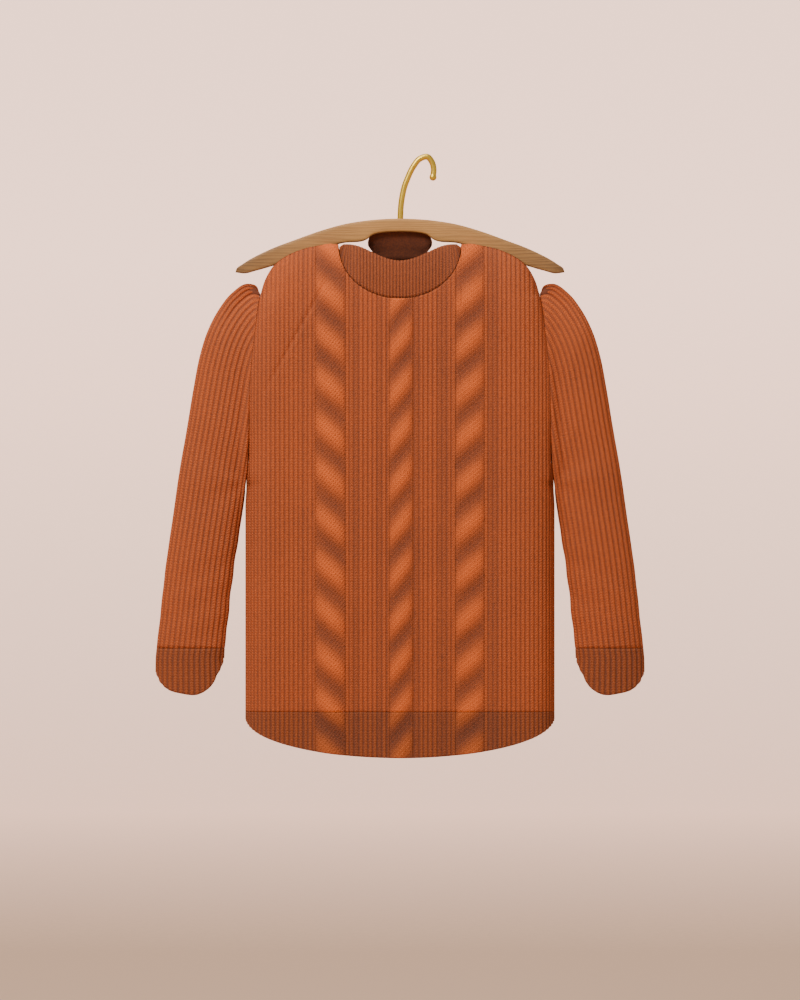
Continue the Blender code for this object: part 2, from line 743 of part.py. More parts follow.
def applied(source, name, collection):
    """A mesh object from a curve, with its loose caps welded."""
    bpy.context.view_layer.update()
    graph = bpy.context.evaluated_depsgraph_get()
    mesh = bpy.data.meshes.new_from_object(source.evaluated_get(graph))
    work = bmesh.new()
    work.from_mesh(mesh)
    bmesh.ops.remove_doubles(work, verts=work.verts, dist=1e-5)
    work.to_mesh(mesh)
    work.free()
    made = bpy.data.objects.new(name, mesh)
    made.matrix_world = source.matrix_world
    collection.objects.link(made)
    bpy.data.objects.remove(source)
    return made


def move_to(item, collection):
    for holder in list(item.users_collection):
        holder.objects.unlink(item)
    collection.objects.link(item)


def board_outline():
    """The board's outline, once round, from its top at the centreline."""
    top = smooth_curve(BOARD_TOP, 3)
    under = smooth_curve(BOARD_UNDERSIDE, 3)
    half = np.concatenate([top, under[1:]])
    return np.concatenate([half, half[-2:0:-1] * (-1, 1)])


def build_board(name, finish, collection, cutters):
    """The shaped wooden board: a flat outline given its thickness, rounded, and drilled for the hook."""
    outline = board_outline()
    curve = bpy.data.curves.new(name, "CURVE")
    curve.dimensions = "2D"
    curve.fill_mode = "BOTH"
    curve.extrude = BOARD_HALF_THICK * MM
    line = curve.splines.new("POLY")
    line.points.add(len(outline) - 1)
    for point, (u, z) in zip(line.points, outline):
        point.co = ((u + CENTRE_X) * MM, z * MM, 0.0, 1.0)
    line.use_cyclic_u = True
    flat = bpy.data.objects.new(name + "_outline", curve)
    flat.rotation_euler = (math.pi / 2, 0.0, 0.0)
    collection.objects.link(flat)
    board = applied(flat, name, collection)
    board.data.materials.clear()
    board.data.materials.append(finish)
    round_edges = board.modifiers.new("rounded edges", "BEVEL")
    round_edges.width = BOARD_ROUNDING * MM
    round_edges.segments = 2
    round_edges.limit_method = "ANGLE"
    round_edges.angle_limit = math.radians(BOARD_CORNER_DEGREES)
    depth = HOLE_DEPTH + CUTTER_ABOVE
    top_z = BOARD_TOP[0][1]
    bpy.ops.mesh.primitive_cylinder_add(
        vertices=16,
        radius=(WIRE_RADIUS + HOLE_CLEARANCE) * MM,
        depth=depth * MM,
        location=((CENTRE_X + HOLE_SHIFT) * MM, 0.0, (top_z - HOLE_DEPTH + depth / 2) * MM),
    )
    cutter = bpy.context.object
    cutter.name = "hook_hole"
    cutter.hide_render = True
    cutter.display_type = "WIRE"
    move_to(cutter, cutters)
    drill = board.modifiers.new("hook hole", "BOOLEAN")
    drill.operation = "DIFFERENCE"
    drill.object = cutter
    return board


def build_hook(name, finish, collection, cutters):
    """The bent brass wire and its round tip, in one piece."""
    route = smooth_curve(HOOK_ROUTE, 4)
    curve = bpy.data.curves.new(name, "CURVE")
    curve.dimensions = "3D"
    curve.bevel_depth = WIRE_RADIUS * MM
    curve.bevel_resolution = 3
    curve.use_fill_caps = True
    line = curve.splines.new("POLY")
    line.points.add(len(route) - 1)
    for point, (x, z) in zip(line.points, route):
        point.co = (x * MM, 0.0, z * MM, 1.0)
    wire = bpy.data.objects.new(name + "_wire", curve)
    collection.objects.link(wire)
    hook = applied(wire, name, collection)
    hook.data.materials.clear()
    hook.data.materials.append(finish)
    x, z = HOOK_ROUTE[-1]
    bpy.ops.mesh.primitive_uv_sphere_add(
        segments=16, ring_count=10, radius=TIP_RADIUS * MM, location=(x * MM, 0.0, z * MM)
    )
    ball = bpy.context.object
    ball.name = "hook_tip"
    ball.hide_render = True
    ball.display_type = "WIRE"
    move_to(ball, cutters)
    join = hook.modifiers.new("round tip", "BOOLEAN")
    join.operation = "UNION"
    join.object = ball
    return hook


def main():
    for item in list(bpy.data.objects):
        bpy.data.objects.remove(item, do_unlink=True)
    parts = bpy.data.collections.new("fisherman_sweater")
    cutters = bpy.data.collections.new("cutters")
    for collection in (parts, cutters):
        bpy.context.scene.collection.children.link(collection)
    knit = material("body_knit", BODY_RUST, 0.9)
    trim = material("rib_trim", TRIM_RUST, 0.9)
    wood = material("hanger_wood", WOOD, 0.5)
    brass = material("hook_brass", BRASS, 0.25, 1.0)

    def seam_bottom(x):
        return HEM_SEAM_Z + HALF_GAP

    hem_edge = level_edge(HEM_SEAM_Z - HALF_GAP)
    panels = (
        ("body_front", panel_edge(FRONT_NECK_DROP), seam_bottom, CABLES, False, knit),
        ("body_back", panel_edge(BACK_NECK_DROP), seam_bottom, (), True, knit),
        ("hem_front", hem_edge, hem_bottom, CABLES, False, trim),
        ("hem_back", hem_edge, hem_bottom, (), True, trim),
    )
    for name, edge, bottom, cables, back, finish in panels:
        place(name, build_panel(name, edge, bottom, cables, back), finish, parts)
    for word, side in (("left", 1.0), ("right", -1.0)):
        place("sleeve_" + word, build_sleeve("sleeve_" + word, side), knit, parts)
        place("cuff_" + word, build_cuff("cuff_" + word, side), trim, parts)
    place("neckband", build_neckband("neckband"), trim, parts)
    build_board("hanger", wood, parts, cutters)
    build_hook("hook", brass, parts, cutters)


main()
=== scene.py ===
"""The looks of the fisherman sweater on its wooden hanger.

Each cloth piece is a thin closed shell worked out on a grid. The shapes are in millimetres, with half
widths measured from the sweater's centreline, and become metres when a mesh is made: +Z is up, the front
faces -Y and the origin is the inside top of the hook.
"""

import math

import bpy
import numpy as np
from bpy.props import FloatProperty, FloatVectorProperty, PointerProperty
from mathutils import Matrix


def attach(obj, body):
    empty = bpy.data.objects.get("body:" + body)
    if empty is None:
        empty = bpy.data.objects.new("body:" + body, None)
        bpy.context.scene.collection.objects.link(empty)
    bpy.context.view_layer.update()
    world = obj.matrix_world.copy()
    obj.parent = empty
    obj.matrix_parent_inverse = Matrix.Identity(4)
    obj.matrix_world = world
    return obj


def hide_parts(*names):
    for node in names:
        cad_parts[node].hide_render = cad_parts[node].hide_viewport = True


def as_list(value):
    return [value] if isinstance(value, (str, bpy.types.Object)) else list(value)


bl_info = {
    "name": "Fisherman sweater",
    "version": (1, 0, 0),
    "blender": (4, 5, 0),
    "location": "3D View > Sidebar > Sweater",
    "description": "Knitted sweater in fisherman rib with cables, on a wooden hanger with a brass hook",
    "category": "Add Mesh",
}

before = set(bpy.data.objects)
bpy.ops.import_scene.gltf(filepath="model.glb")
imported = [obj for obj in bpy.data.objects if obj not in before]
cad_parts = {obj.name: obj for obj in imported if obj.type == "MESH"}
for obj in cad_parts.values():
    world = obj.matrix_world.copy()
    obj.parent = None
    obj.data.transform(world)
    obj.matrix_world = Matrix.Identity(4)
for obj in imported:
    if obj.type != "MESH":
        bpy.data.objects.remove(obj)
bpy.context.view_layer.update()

MM = 0.001
SEAM_GAP = 0.3
HALF_GAP = SEAM_GAP / 2
CENTRE_X = -37.5
BOARD_HALF_THICK = 7.0
BOARD_FACE = BOARD_HALF_THICK + SEAM_GAP

# Body: a rounded bar in plan, whose edge runs from the underarm over the shoulder to the neck.
HALF_WIDTH = 210.0
HALF_DEPTH = 36.0
SIDE_ROUND = 36.0
SHOULDER_DROP = 118.0
UNDERARM_Z = -441.3
NOTCH_Z = -185.5
HEM_SEAM_Z = -753.7
ARMHOLE_HALF_DEPTH = 26.0
ARMHOLE_EDGE = (  # half width, height
    (210.0, UNDERARM_Z), (206.4, -407.0), (205.3, -352.0), (204.0, -301.0), (201.1, -264.5),
    (198.0, -237.0), (194.0, -204.0), (191.2, NOTCH_Z),
)
SHOULDER_EDGE = (  # half width, height
    (191.2, NOTCH_Z), (184.5, -164.2), (169.8, -142.0), (153.4, -130.8), (132.8, -122.2), (110.6, -117.4),
    (90.0, -115.4), (84.0, -115.3),
)
HEM_SIDE_DROP = 7.2
HEM_CENTRE_DROP = 62.6
SHOULDER_LINE_Z = -113.0
SHOULDER_LINE_SLOPE = 0.2
SHOULDER_LINE_FROM = 80.0
EDGE_EASE_FROM = 14.0
EDGE_EASE = 28.0

# Neckband: half ellipses for the seams, a bell curve for the front rim, a table for the back rim.
NECK_HALF_WIDTH = 83.5
NECK_INSET = 0.75
NECK_TOP_Z = -120.0
FRONT_NECK_DROP = 70.9
BACK_NECK_DROP = 20.0
FRONT_RIM_HALF_WIDTH = 72.3
FRONT_RIM_TOP_Z = -115.9
FRONT_RIM_DROP = 22.8
FRONT_RIM_POWER = 2.2
FRONT_RIM_END = 77.0
SQUEEZE_FROM = 66.0
BACK_RIM = (  # half width, height
    (0.0, -97.5), (22.0, -98.5), (36.0, -101.5), (42.5, -106.5), (43.9, -112.5), (41.5, -118.0),
    (37.5, -124.0), (36.0, -128.5), (39.5, -131.5), (50.0, -129.0), (62.0, -122.5), (76.0, -117.0),
)
TAB_NECK = 7
TAB_NECK_SEAM = 29.0
NECK_FLAT_FROM = 52.0
NECK_FLAT_EASE = 14.0
NECK_ROLL = 0.9
NECK_PURL = 0.15

# Knit.
WALL = 2.6
RIB_POWER = 0.8
PURL_FLATTENS = 0.45
FIRST_RIB = -2.45
SLEEVE_RIB_PITCH = 7.2
NECK_RIB_PITCH = 4.5
COURSE = 3.7
CABLES = (  # centre, half width, lean
    (-94.8, 21.8, 0.8), (1.0, 17.4, -1.1), (94.8, 21.1, -0.8),
)
CABLE_PERIOD = 62.4
CABLE_CREST_Z = -247.9
CABLE_SHARE = 0.9
CABLE_EDGE_OUT = 3.0
CABLE_EDGE_EASE = 8.5
WALE_RISE = 0.45
LOBE_LOW = 0.25
LOBE_POWER = 0.8
LOBE_ROUND = 0.6
# Painted highlight on each cable lobe and painted shade in the grooves between lobes.
LOBE_HIGHLIGHT = 2.3
LOBE_HIGHLIGHT_POWER = 1.3
GROOVE_SHADE = 0.25
PURL_BANDS = (  # centre, half width of the flatter, darker bands
    (-131.5, 2.6), (-60.0, 5.4), (-28.0, 4.6), (-17.7, 1.4), (23.1, 5.4), (58.7, 8.0), (126.8, 8.2),
)

# Folds: waves down the body, a crease from the neck to the armhole, and on the sleeve creases that fan
# out from the underarm and slack rolls above the cuff.
FOLD_DEPTH = 1.1
FOLD_LENGTHS = (118.0, 71.0)
FOLD_LEAN = 90.0
FOLD_TOP_Z = -420.0
FOLD_EASE = 300.0
CREASE_START = (98.9, -163.6)
CREASE_SLOPE = 0.557
CREASE_DEPTH = 1.5
CREASE_WIDTH = 3.0
CREASE_TOP_Z = -160.0
CREASE_LOW_Z = -350.0
FAN_DEPTH = 0.8
FAN_CREASES = 5.0
FAN_REACH = 150.0
ROLL_DEPTH = 0.5
ROLL_LENGTH = 46.0
ROLL_LEAN = 0.35
ROLL_CREST = (285.0, -590.0)
ROLL_TOP_Z = -500.0
ROLL_LOW_Z = -690.0

# Sleeves and cuffs.
SLEEVE_EDGE = (  # half width, height
    (336.0, -707.0), (331.5, -667.5), (327.0, -628.0), (321.2, -574.1), (302.0, -440.0), (294.8, -393.0),
    (288.0, -354.5), (280.6, -310.2), (272.5, -268.6), (261.8, -234.5), (246.5, -205.0), (229.0, -183.0),
    (209.0, -170.6), (197.5, -173.0), (191.2, NOTCH_Z),
)
CUFF_SEAM_Z = -667.5
SLEEVE_HALF_DEPTH = 22.0
SLEEVE_BLUNT = 0.78
SLEEVE_TURN_RADIUS = 112.0
ARMHOLE_BLEND = 110.0
UNDERARM_EXTRA = 0.8
CUFF_EDGES = (  # height, outer half width, inner half width
    (-732.0, 333.4, 241.4), (-681.0, 332.8, 241.4), (CUFF_SEAM_Z, 331.5, 239.0),
)
CUFF_RIM = (  # half width, height
    (241.4, -681.0), (244.1, -691.4), (250.9, -705.0), (258.5, -719.3), (276.1, -730.3), (298.6, -728.9),
    (316.4, -723.4), (327.3, -713.2), (333.4, -700.0),
)

# Hanger board and hook wire.
BOARD_TOP = (  # half width, height
    (0.0, -80.3), (23.2, -81.1), (49.2, -83.5), (75.3, -87.8), (106.6, -96.4), (141.4, -108.7),
    (179.6, -123.4), (215.0, -142.5), (223.5, -149.0), (225.0, -153.8),
)
BOARD_UNDERSIDE = (  # half width, height
    (0.0, -98.2), (22.0, -99.2), (37.0, -102.5), (45.7, -109.0), (78.8, -113.9), (124.0, -128.7),
    (169.2, -143.5), (197.0, -151.6), (212.7, -155.3), (225.0, -153.8),
)
BOARD_BLUNT = 0.32
BOARD_STATIONS = 120
BOARD_AROUND = 40
WIRE_RADIUS = 4.1
TIP_RADIUS = 5.0
WIRE_AROUND = 28
TIP_RINGS = 14
HOOK_ROUTE = (  # x, height
    (-37.1, -91.8), (-37.0, -79.1), (-36.1, -62.0), (-34.0, -47.7), (-31.2, -36.0), (-27.4, -25.9),
    (-19.1, -8.9), (-10.4, 1.4), (0.0, 4.1), (6.4, -3.4), (8.6, -13.0), (7.6, -23.6),
)

# Grids: columns for each rib, rows for each piece, and how much coarser the plain inside is.
COLUMNS_PER_RIB = 6
BODY_ROWS = 200
BACK_ROWS = 120
HEM_ROWS = 24
TUBE_COLUMNS_PER_RIB = 8
SLEEVE_ROWS = 130
CUFF_ROWS = 20
NECK_ROWS = 16
INNER_STRIDE = 4
# The colour of every inner point: darker than the outside, painted shade on the inside of the cloth.
INSIDE_SHADE = {"relief": -0.5, "purl": 0.6}


# Curves and helpers


def smooth_curve(points, per_span=24):
    """A cubic through the points: on each span the Hermite blend of its ends and of the slopes there."""
    points = np.array(points, float)
    at = lengths_along(points)
    spans = np.diff(at)
    slopes = np.gradient(points, at, axis=0)
    where = np.unique(np.concatenate([np.linspace(a, b, per_span) for a, b in zip(at[:-1], at[1:])]))
    index = np.clip(np.searchsorted(at, where, side="right") - 1, 0, len(spans) - 1)
    width = spans[index][:, None]
    t = (where - at[index])[:, None] / width
    first, last = points[index], points[index + 1]
    start, end = slopes[index] * width, slopes[index + 1] * width
    return (
        first * (2 * t**3 - 3 * t**2 + 1)
        + start * (t**3 - 2 * t**2 + t)
        + last * (3 * t**2 - 2 * t**3)
        + end * (t**3 - t**2)
    )


def ease(t):
    """3t^2 - 2t^3, held at 0 and 1 outside its span."""
    t = np.clip(t, 0.0, 1.0)
    return t * t * (3 - 2 * t)


def crests(turn):
    """A cosine wave from 1 on each whole turn to 0 half way between."""
    return 0.5 + 0.5 * np.cos(2 * math.pi * turn)


def lengths_along(points):
    """The length of a polyline up to each of its points."""
    return np.concatenate([[0.0], np.cumsum(np.linalg.norm(np.diff(points, axis=0), axis=1))])


def read_at(place, at, curve):
    """Both coordinates of a curve at some lengths along it."""
    return tuple(np.interp(place, at, curve[:, axis]) for axis in (0, 1))


def unit(vectors):
    return vectors / np.maximum(np.linalg.norm(vectors, axis=-1, keepdims=True), 1e-9)


SHOULDER = smooth_curve(SHOULDER_EDGE)
SIDE = np.concatenate([smooth_curve(ARMHOLE_EDGE), SHOULDER[1:]])
SLEEVE_FOLD = smooth_curve(SLEEVE_EDGE, 60)
SLEEVE_FOLD_AT = lengths_along(SLEEVE_FOLD)


# Meshes


def grid_faces(ids):
    """Quads between neighbouring points of a grid of point numbers."""
    return np.stack([ids[:-1, :-1], ids[:-1, 1:], ids[1:, 1:], ids[1:, :-1]], axis=-1).reshape(-1, 4)


def border_faces(fine, coarse, kept):
    """Triangles between a fine chain and a coarse one. kept gives the fine place of each coarse point: each
    fine edge goes to the nearest coarse point, and each coarse edge to the fine point half way."""
    half = (kept[:-1] + kept[1:]) // 2
    edge = np.arange(len(fine) - 1)
    near = coarse[np.searchsorted(half, edge, side="right")]
    along_fine = np.stack([fine[:-1], fine[1:], near], axis=-1)
    along_coarse = np.stack([coarse[1:], coarse[:-1], fine[half]], axis=-1)
    return np.concatenate([along_fine, along_coarse])


def wrapped(ids):
    return np.concatenate([ids, ids[:, :1]], axis=1)


def every(count, stride):
    """Each stride-th place of a row of points, and always the last one."""
    return np.unique(np.append(np.arange(0, count, stride), count - 1))


def shell(name, outer, inner, uv, relief, purl, closed, finish):
    """A closed shell of cloth in metres: the outer grid, a coarser inner grid, and their joined borders.
    A closed tube's last column repeats its first. uv counts ribs and courses on the outer grid, and relief
    and purl colour its points: painted highlight and shade on the outer grid, painted shade on all the
    inner grid."""
    rows, columns = outer.shape[:2]
    across = columns - 1 if closed else columns
    outer_ids = np.arange(rows * across).reshape(rows, across)
    kept_rows, kept_columns = every(rows, INNER_STRIDE), every(columns, INNER_STRIDE)
    inner_across = len(kept_columns) - 1 if closed else len(kept_columns)
    inner_ids = np.arange(len(kept_rows) * inner_across).reshape(-1, inner_across) + outer_ids.size
    inner_points = inner[kept_rows][:, kept_columns[:inner_across]]
    points = np.concatenate([outer[:, :across].reshape(-1, 3), inner_points.reshape(-1, 3)])
    if closed:
        outer_ids, inner_ids = wrapped(outer_ids), wrapped(inner_ids)
    quads = np.concatenate([grid_faces(outer_ids), grid_faces(inner_ids)[:, ::-1]])
    borders = [
        border_faces(outer_ids[0], inner_ids[0], kept_columns)[:, ::-1],
        border_faces(outer_ids[-1], inner_ids[-1], kept_columns),
    ]
    if not closed:
        borders += [
            border_faces(outer_ids[:, 0], inner_ids[:, 0], kept_rows),
            border_faces(outer_ids[:, -1], inner_ids[:, -1], kept_rows)[:, ::-1],
        ]
    points = points + (CENTRE_X, 0.0, 0.0)
    piece, corners = closed_form(name, points, quads, np.concatenate(borders), finish)
    layer = piece.data.uv_layers.new(name="knit")
    layer.data.foreach_set("uv", corner_uv(uv, rows, columns, across, corners).astype(np.float32).ravel())
    for word, values in (("relief", relief), ("purl", purl)):
        attribute = piece.data.attributes.new(word, "FLOAT", "POINT")
        # Every inner point takes the painted shade of the inside.
        plain = np.full(len(points) - rows * across, INSIDE_SHADE[word])
        values = np.broadcast_to(values, (rows, columns))[:, :across].ravel()
        attribute.data.foreach_set("value", np.concatenate([values, plain]).astype(np.float32))
    return piece


def corner_uv(uv, rows, columns, across, corners):
    """The uv of each face corner. Corners in the last column of a closed tube keep the last column's value
    instead of the first one's, so that the pattern doesn't run back across the joint."""
    per_point = uv[:, :across].reshape(-1, 2)
    values = per_point[np.minimum(corners, len(per_point) - 1)]
    if across < columns:
        faces = corners[: 4 * (rows - 1) * (columns - 1)].reshape(-1, 4)
        column = faces % across
        wraps = (column.max(axis=1) - column.min(axis=1) > 1)[:, None] & (column == 0)
        last = uv[faces // across, -1]
        quads = values[: faces.size].reshape(-1, 4, 2)
        values[: faces.size] = np.where(wraps[..., None], last, quads).reshape(-1, 2)
    return values


def mesh_object(name, points, corners, sizes, finish):
    """A smooth-shaded mesh object from points, the faces' corners one after another, and their sizes."""
    mesh = bpy.data.meshes.new(name)
    mesh.vertices.add(len(points))
    mesh.vertices.foreach_set("co", points.astype(np.float32).ravel())
    mesh.loops.add(len(corners))
    mesh.loops.foreach_set("vertex_index", corners.astype(np.int32))
    mesh.polygons.add(len(sizes))
    starts = np.concatenate([[0], np.cumsum(sizes)[:-1]])
    mesh.polygons.foreach_set("loop_start", starts.astype(np.int32))
    mesh.update(calc_edges=True)
    mesh.validate()
    mesh.shade_smooth()
    mesh.materials.append(finish)
    return placed(name, mesh)


def placed(name, data):
    made = bpy.data.objects.new(name, data)
    bpy.context.scene.collection.objects.link(made)
    return made


def closed_form(name, points, quads, triangles, finish):
    """A closed form from points in mm, and its faces' corners. The faces are turned outwards: the sum of
    their corners' determinants, six times the volume, isn't below 0."""
    fans = (quads[:, :3], quads[:, [0, 2, 3]], triangles)
    if sum(np.linalg.det(points[fan]).sum() for fan in fans) < 0:
        quads, triangles = quads[:, ::-1], triangles[:, ::-1]
    corners = np.concatenate([quads.ravel(), triangles.ravel()])
    sizes = np.concatenate([np.full(len(quads), 4), np.full(len(triangles), 3)])
    return mesh_object(name, points * MM, corners, sizes, finish), corners


def solid_of_rings(name, rings, finish):
    """A closed solid from rings of points. Fans from the first and last ring's middles close its ends."""
    count, around = rings.shape[:2]
    ids = wrapped(np.arange(count * around).reshape(count, around))
    points = np.concatenate([rings.reshape(-1, 3), rings[[0, -1]].mean(axis=1)])
    quads = grid_faces(ids)
    middle = np.full(around, count * around)
    start = np.stack([ids[0, 1:], ids[0, :-1], middle], axis=-1)
    end = np.stack([ids[-1, :-1], ids[-1, 1:], middle + 1], axis=-1)
    return closed_form(name, points, quads, np.concatenate([start, end]), finish)[0]


# Body


def side_half_width(z):
    """The body's half width at a height: straight below the underarm, then armhole and shoulder."""
    return np.interp(z, SIDE[:, 1], SIDE[:, 0])


def armhole_share(z):
    """0 at the notch, 1 at the underarm."""
    return np.clip((NOTCH_Z - z) / (NOTCH_Z - UNDERARM_Z), 0.0, 1.0)


def edge_depth(z):
    """The panel's depth at its edge: nothing on the side seam, half an ellipse at the armhole, and the
    board's face at the shoulder."""
    share = armhole_share(z)
    armhole = (ARMHOLE_HALF_DEPTH - HALF_GAP) * np.sqrt(4 * share * (1 - share))
    shoulder = (BOARD_FACE - HALF_GAP) * ease((z - NOTCH_Z - EDGE_EASE_FROM) / EDGE_EASE)
    return HALF_GAP + armhole + shoulder


def body_depth(x, z):
    """The knit's distance from the middle plane: from the edge it swells in a quarter ellipse, and below
    the shoulders in another."""
    u = np.abs(x)
    share = armhole_share(z)
    shoulder_line = SHOULDER_LINE_Z - SHOULDER_LINE_SLOPE * np.clip(u - SHOULDER_LINE_FROM, 0.0, None)
    below = np.clip((shoulder_line - z) / SHOULDER_DROP, 0.0, 1.0)
    full = BOARD_FACE + (HALF_DEPTH - BOARD_FACE) * np.sqrt(1 - (1 - below) ** 2)
    inward = np.clip((side_half_width(z) - u) / SIDE_ROUND, 0.0, 1.0)
    power = 0.5 + 0.4 * ease(4 * share * (1 - share))
    edge = edge_depth(z)
    return edge + (np.maximum(full, edge) - edge) * (1 - (1 - inward) ** 2) ** power


def outline_top(x, edge):
    """The height of an edge at a distance from the centreline."""
    return np.interp(np.abs(x), edge[::-1, 0], edge[::-1, 1])


def body_normal(x, z, step=0.05):
    """The outward direction on the front, from differences of the depth just inside the edge."""
    limit = side_half_width(z) - 1.5 * step
    xi = np.clip(x, -limit, limit)
    zi = np.minimum(z, outline_top(xi, SHOULDER) - 1.5 * step)
    slope_x = (body_depth(xi + step, zi) - body_depth(xi - step, zi)) / (2 * step)
    slope_z = (body_depth(xi, zi + step) - body_depth(xi, zi - step)) / (2 * step)
    return unit(np.stack([-slope_x, -np.ones_like(slope_x), -slope_z], axis=-1))


def neck_seam(x, drop, inset=0.0):
    """The lower half of an ellipse; inset makes it smaller all round."""
    share = x / (NECK_HALF_WIDTH - inset)
    return NECK_TOP_Z - (drop - inset) * np.sqrt(np.clip(1 - share**2, 0.0, 1.0))


def girth_table():
    """(half width, girth from the centreline) of the section below the underarm: flat, then a quarter
    ellipse to the side seam."""
    turn = np.linspace(0.0, math.pi / 2, 200)
    half_width = HALF_WIDTH - SIDE_ROUND * (1 - np.sin(turn))
    depth = HALF_GAP + (HALF_DEPTH - HALF_GAP) * np.cos(turn)
    girth = HALF_WIDTH - SIDE_ROUND + lengths_along(np.stack([half_width, depth], axis=1))
    return np.append(0.0, half_width), np.append(0.0, girth)


GIRTH_X, GIRTH = girth_table()


def panel_columns(pitch):
    """The girths of a panel's columns, a fixed number for each rib, from side seam to side seam."""
    step = pitch / COLUMNS_PER_RIB
    count = int(GIRTH[-1] / step) + 1
    girth = FIRST_RIB + step * np.arange(-count, count + 1)
    girth = girth[np.abs(girth) < GIRTH[-1] - step / 2]
    return np.concatenate([[-GIRTH[-1]], girth, [GIRTH[-1]]])


def purl_share(x, cables):
    """1 in the flat dark bands beside the cables, falling to 0 within 2 mm."""
    if not cables:
        return np.zeros_like(x)
    return np.max([ease((half + 1.0 - np.abs(x - centre)) / 2.0) for centre, half in PURL_BANDS], axis=0)


def folds(x, z, back):
    """Soft hanging folds in mm: waves across the body that grow downwards, and a slack crease that falls
    from each side of the neck to the armhole. They die out at the side seams."""
    u = np.abs(x)
    phase = 2.1 if back else 0.4
    wide, narrow = (2 * math.pi * x / length for length in FOLD_LENGTHS)
    wave = np.sin(wide + phase) + 0.5 * np.sin(narrow - z / FOLD_LEAN + 3 * phase)
    hanging = FOLD_DEPTH * wave * ease((FOLD_TOP_Z - z) / FOLD_EASE)
    crease_x = CREASE_START[0] + (CREASE_START[1] - z) * CREASE_SLOPE
    crease_ends = ease((CREASE_TOP_Z - z) / 20.0) * ease((z - CREASE_LOW_Z) / 90.0)
    crease = -CREASE_DEPTH * np.exp(-(((u - crease_x) / CREASE_WIDTH) ** 2)) * crease_ends
    inward = ease((side_half_width(z) - u) / 30.0)
    return (hanging + crease) * inward


def body_relief(x, z, girth, sizes, cables):
    """Height in mm, relief, uv and purl. Ribs are rounded crests along the girth. A cable is a row of
    leaning lobes, high where a strand crosses in front, with small wales along the strand. The relief
    also colours the knit: painted highlight on crests, lobes and wales, painted shade in grooves and purl
    bands."""
    turn = (girth - FIRST_RIB) / (sizes.rib_pitch / MM)
    purl = purl_share(x, cables)
    # Lighter on each rib crest, darker in the grooves and the flatter purl bands: painted highlight and
    # painted shade.
    relief = crests(turn) * (1 - PURL_FLATTENS * purl)
    height = sizes.rib_rise / MM * relief**RIB_POWER
    uv = np.stack([turn, z / COURSE], axis=-1)
    for centre, half, lean in cables:
        side = x - centre
        share = CABLE_SHARE * ease((half + CABLE_EDGE_OUT - np.abs(side)) / CABLE_EDGE_EASE)
        across = np.clip(np.abs(side) / half, 0.0, 1.0)
        wave = crests((z - CABLE_CREST_Z + lean * side) / CABLE_PERIOD)
        round_off = (1 - across**2) ** LOBE_ROUND
        slope = math.hypot(1.0, lean)
        strand = (z + lean * side) / slope
        wale = crests(strand / sizes.cable_wale * MM)
        lobe = LOBE_LOW + (1 - LOBE_LOW) * wave**LOBE_POWER
        rope = (sizes.cable_rise / MM * lobe + WALE_RISE * wale) * round_off
        height += (rope - height) * share
        # tone paints the cable's light: a painted highlight on each lobe and painted shade between lobes,
        # fainter towards the cable's edges.
        tone = LOBE_HIGHLIGHT * wave**LOBE_HIGHLIGHT_POWER - GROOVE_SHADE
        relief += (tone * (0.2 + 0.8 * round_off) + 0.1 * wale - relief) * share
        course = (side - lean * z) / slope / COURSE
        strand_uv = np.stack([strand / (sizes.cable_wale / MM), course], axis=-1)
        uv = np.where(share[..., None] > 0.5, strand_uv, uv)
    clear = ease((side_half_width(z) - np.abs(x)) / 8.0)
    below_underarm = ease((UNDERARM_Z - 4.0 - z) / 30.0)
    return height * np.maximum(clear, below_underarm), relief, uv, purl


def on_body(x, z, lift, back):
    """Points of the body's surface moved out along its normal, and held off the board's faces."""
    points = np.stack([x, -body_depth(x, z), z], axis=-1) + body_normal(x, z) * lift[..., None]
    points[..., 1] = np.minimum(points[..., 1], -np.minimum(edge_depth(z), BOARD_FACE))
    if back:
        points[..., 1] *= -1
    return points


def panel(name, sizes, top_of, bottom_of, rows, cables, back, finish):
    """A body or hem panel. Column by column, heights run evenly from its bottom edge to its top edge."""
    girth = panel_columns(sizes.rib_pitch / MM)
    x = np.sign(girth) * np.interp(np.abs(girth), GIRTH, GIRTH_X)
    share = np.linspace(0.0, 1.0, rows + 1)[:, None]
    z = bottom_of(x) + (top_of(x) - bottom_of(x)) * share
    x, girth = np.broadcast_to(x, z.shape), np.broadcast_to(girth, z.shape)
    height, relief, uv, purl = body_relief(x, z, girth, sizes, cables)
    slack = folds(x, z, back)
    outer = on_body(x, z, height + slack, back)
    inner = on_body(x, z, slack - WALL, back)
    return shell(name, outer, inner, uv, relief, purl, False, finish)


def panel_top(drop):
    """The upper edge of a panel as a function of the half width: armhole and shoulder, then neck seam."""

    def top(x):
        u = np.abs(x)
        neck = neck_seam(np.minimum(u, NECK_HALF_WIDTH), drop)
        return np.where(u < NECK_HALF_WIDTH, neck, outline_top(x, SIDE))

    return top


def hem_bottom(x):
    """The hem's cut edge: a half ellipse that is deepest at the centreline."""
    swell = np.sqrt(np.clip(1 - (x / (HALF_WIDTH + 0.5)) ** 2, 0.0, 1.0))
    return HEM_SEAM_Z - HEM_SIDE_DROP - (HEM_CENTRE_DROP - HEM_SIDE_DROP) * swell


def level(z):
    """A straight edge at one height, as a function of the half width."""
    return lambda x: np.full_like(x, z)


# Sleeves and cuffs


def armhole_gap(z):
    """The seam's gap, a little wider at the underarm."""
    return SEAM_GAP + UNDERARM_EXTRA * ease((armhole_share(z) - 0.6) / 0.4)


UNDERARM = (HALF_WIDTH + armhole_gap(UNDERARM_Z), UNDERARM_Z)
SLEEVE_WIDTH = np.linalg.norm(SLEEVE_FOLD - UNDERARM, axis=1).min()
SLEEVE_RIBS = 2 * round(math.pi * (SLEEVE_WIDTH / 2 + SLEEVE_HALF_DEPTH) / 2 / SLEEVE_RIB_PITCH)


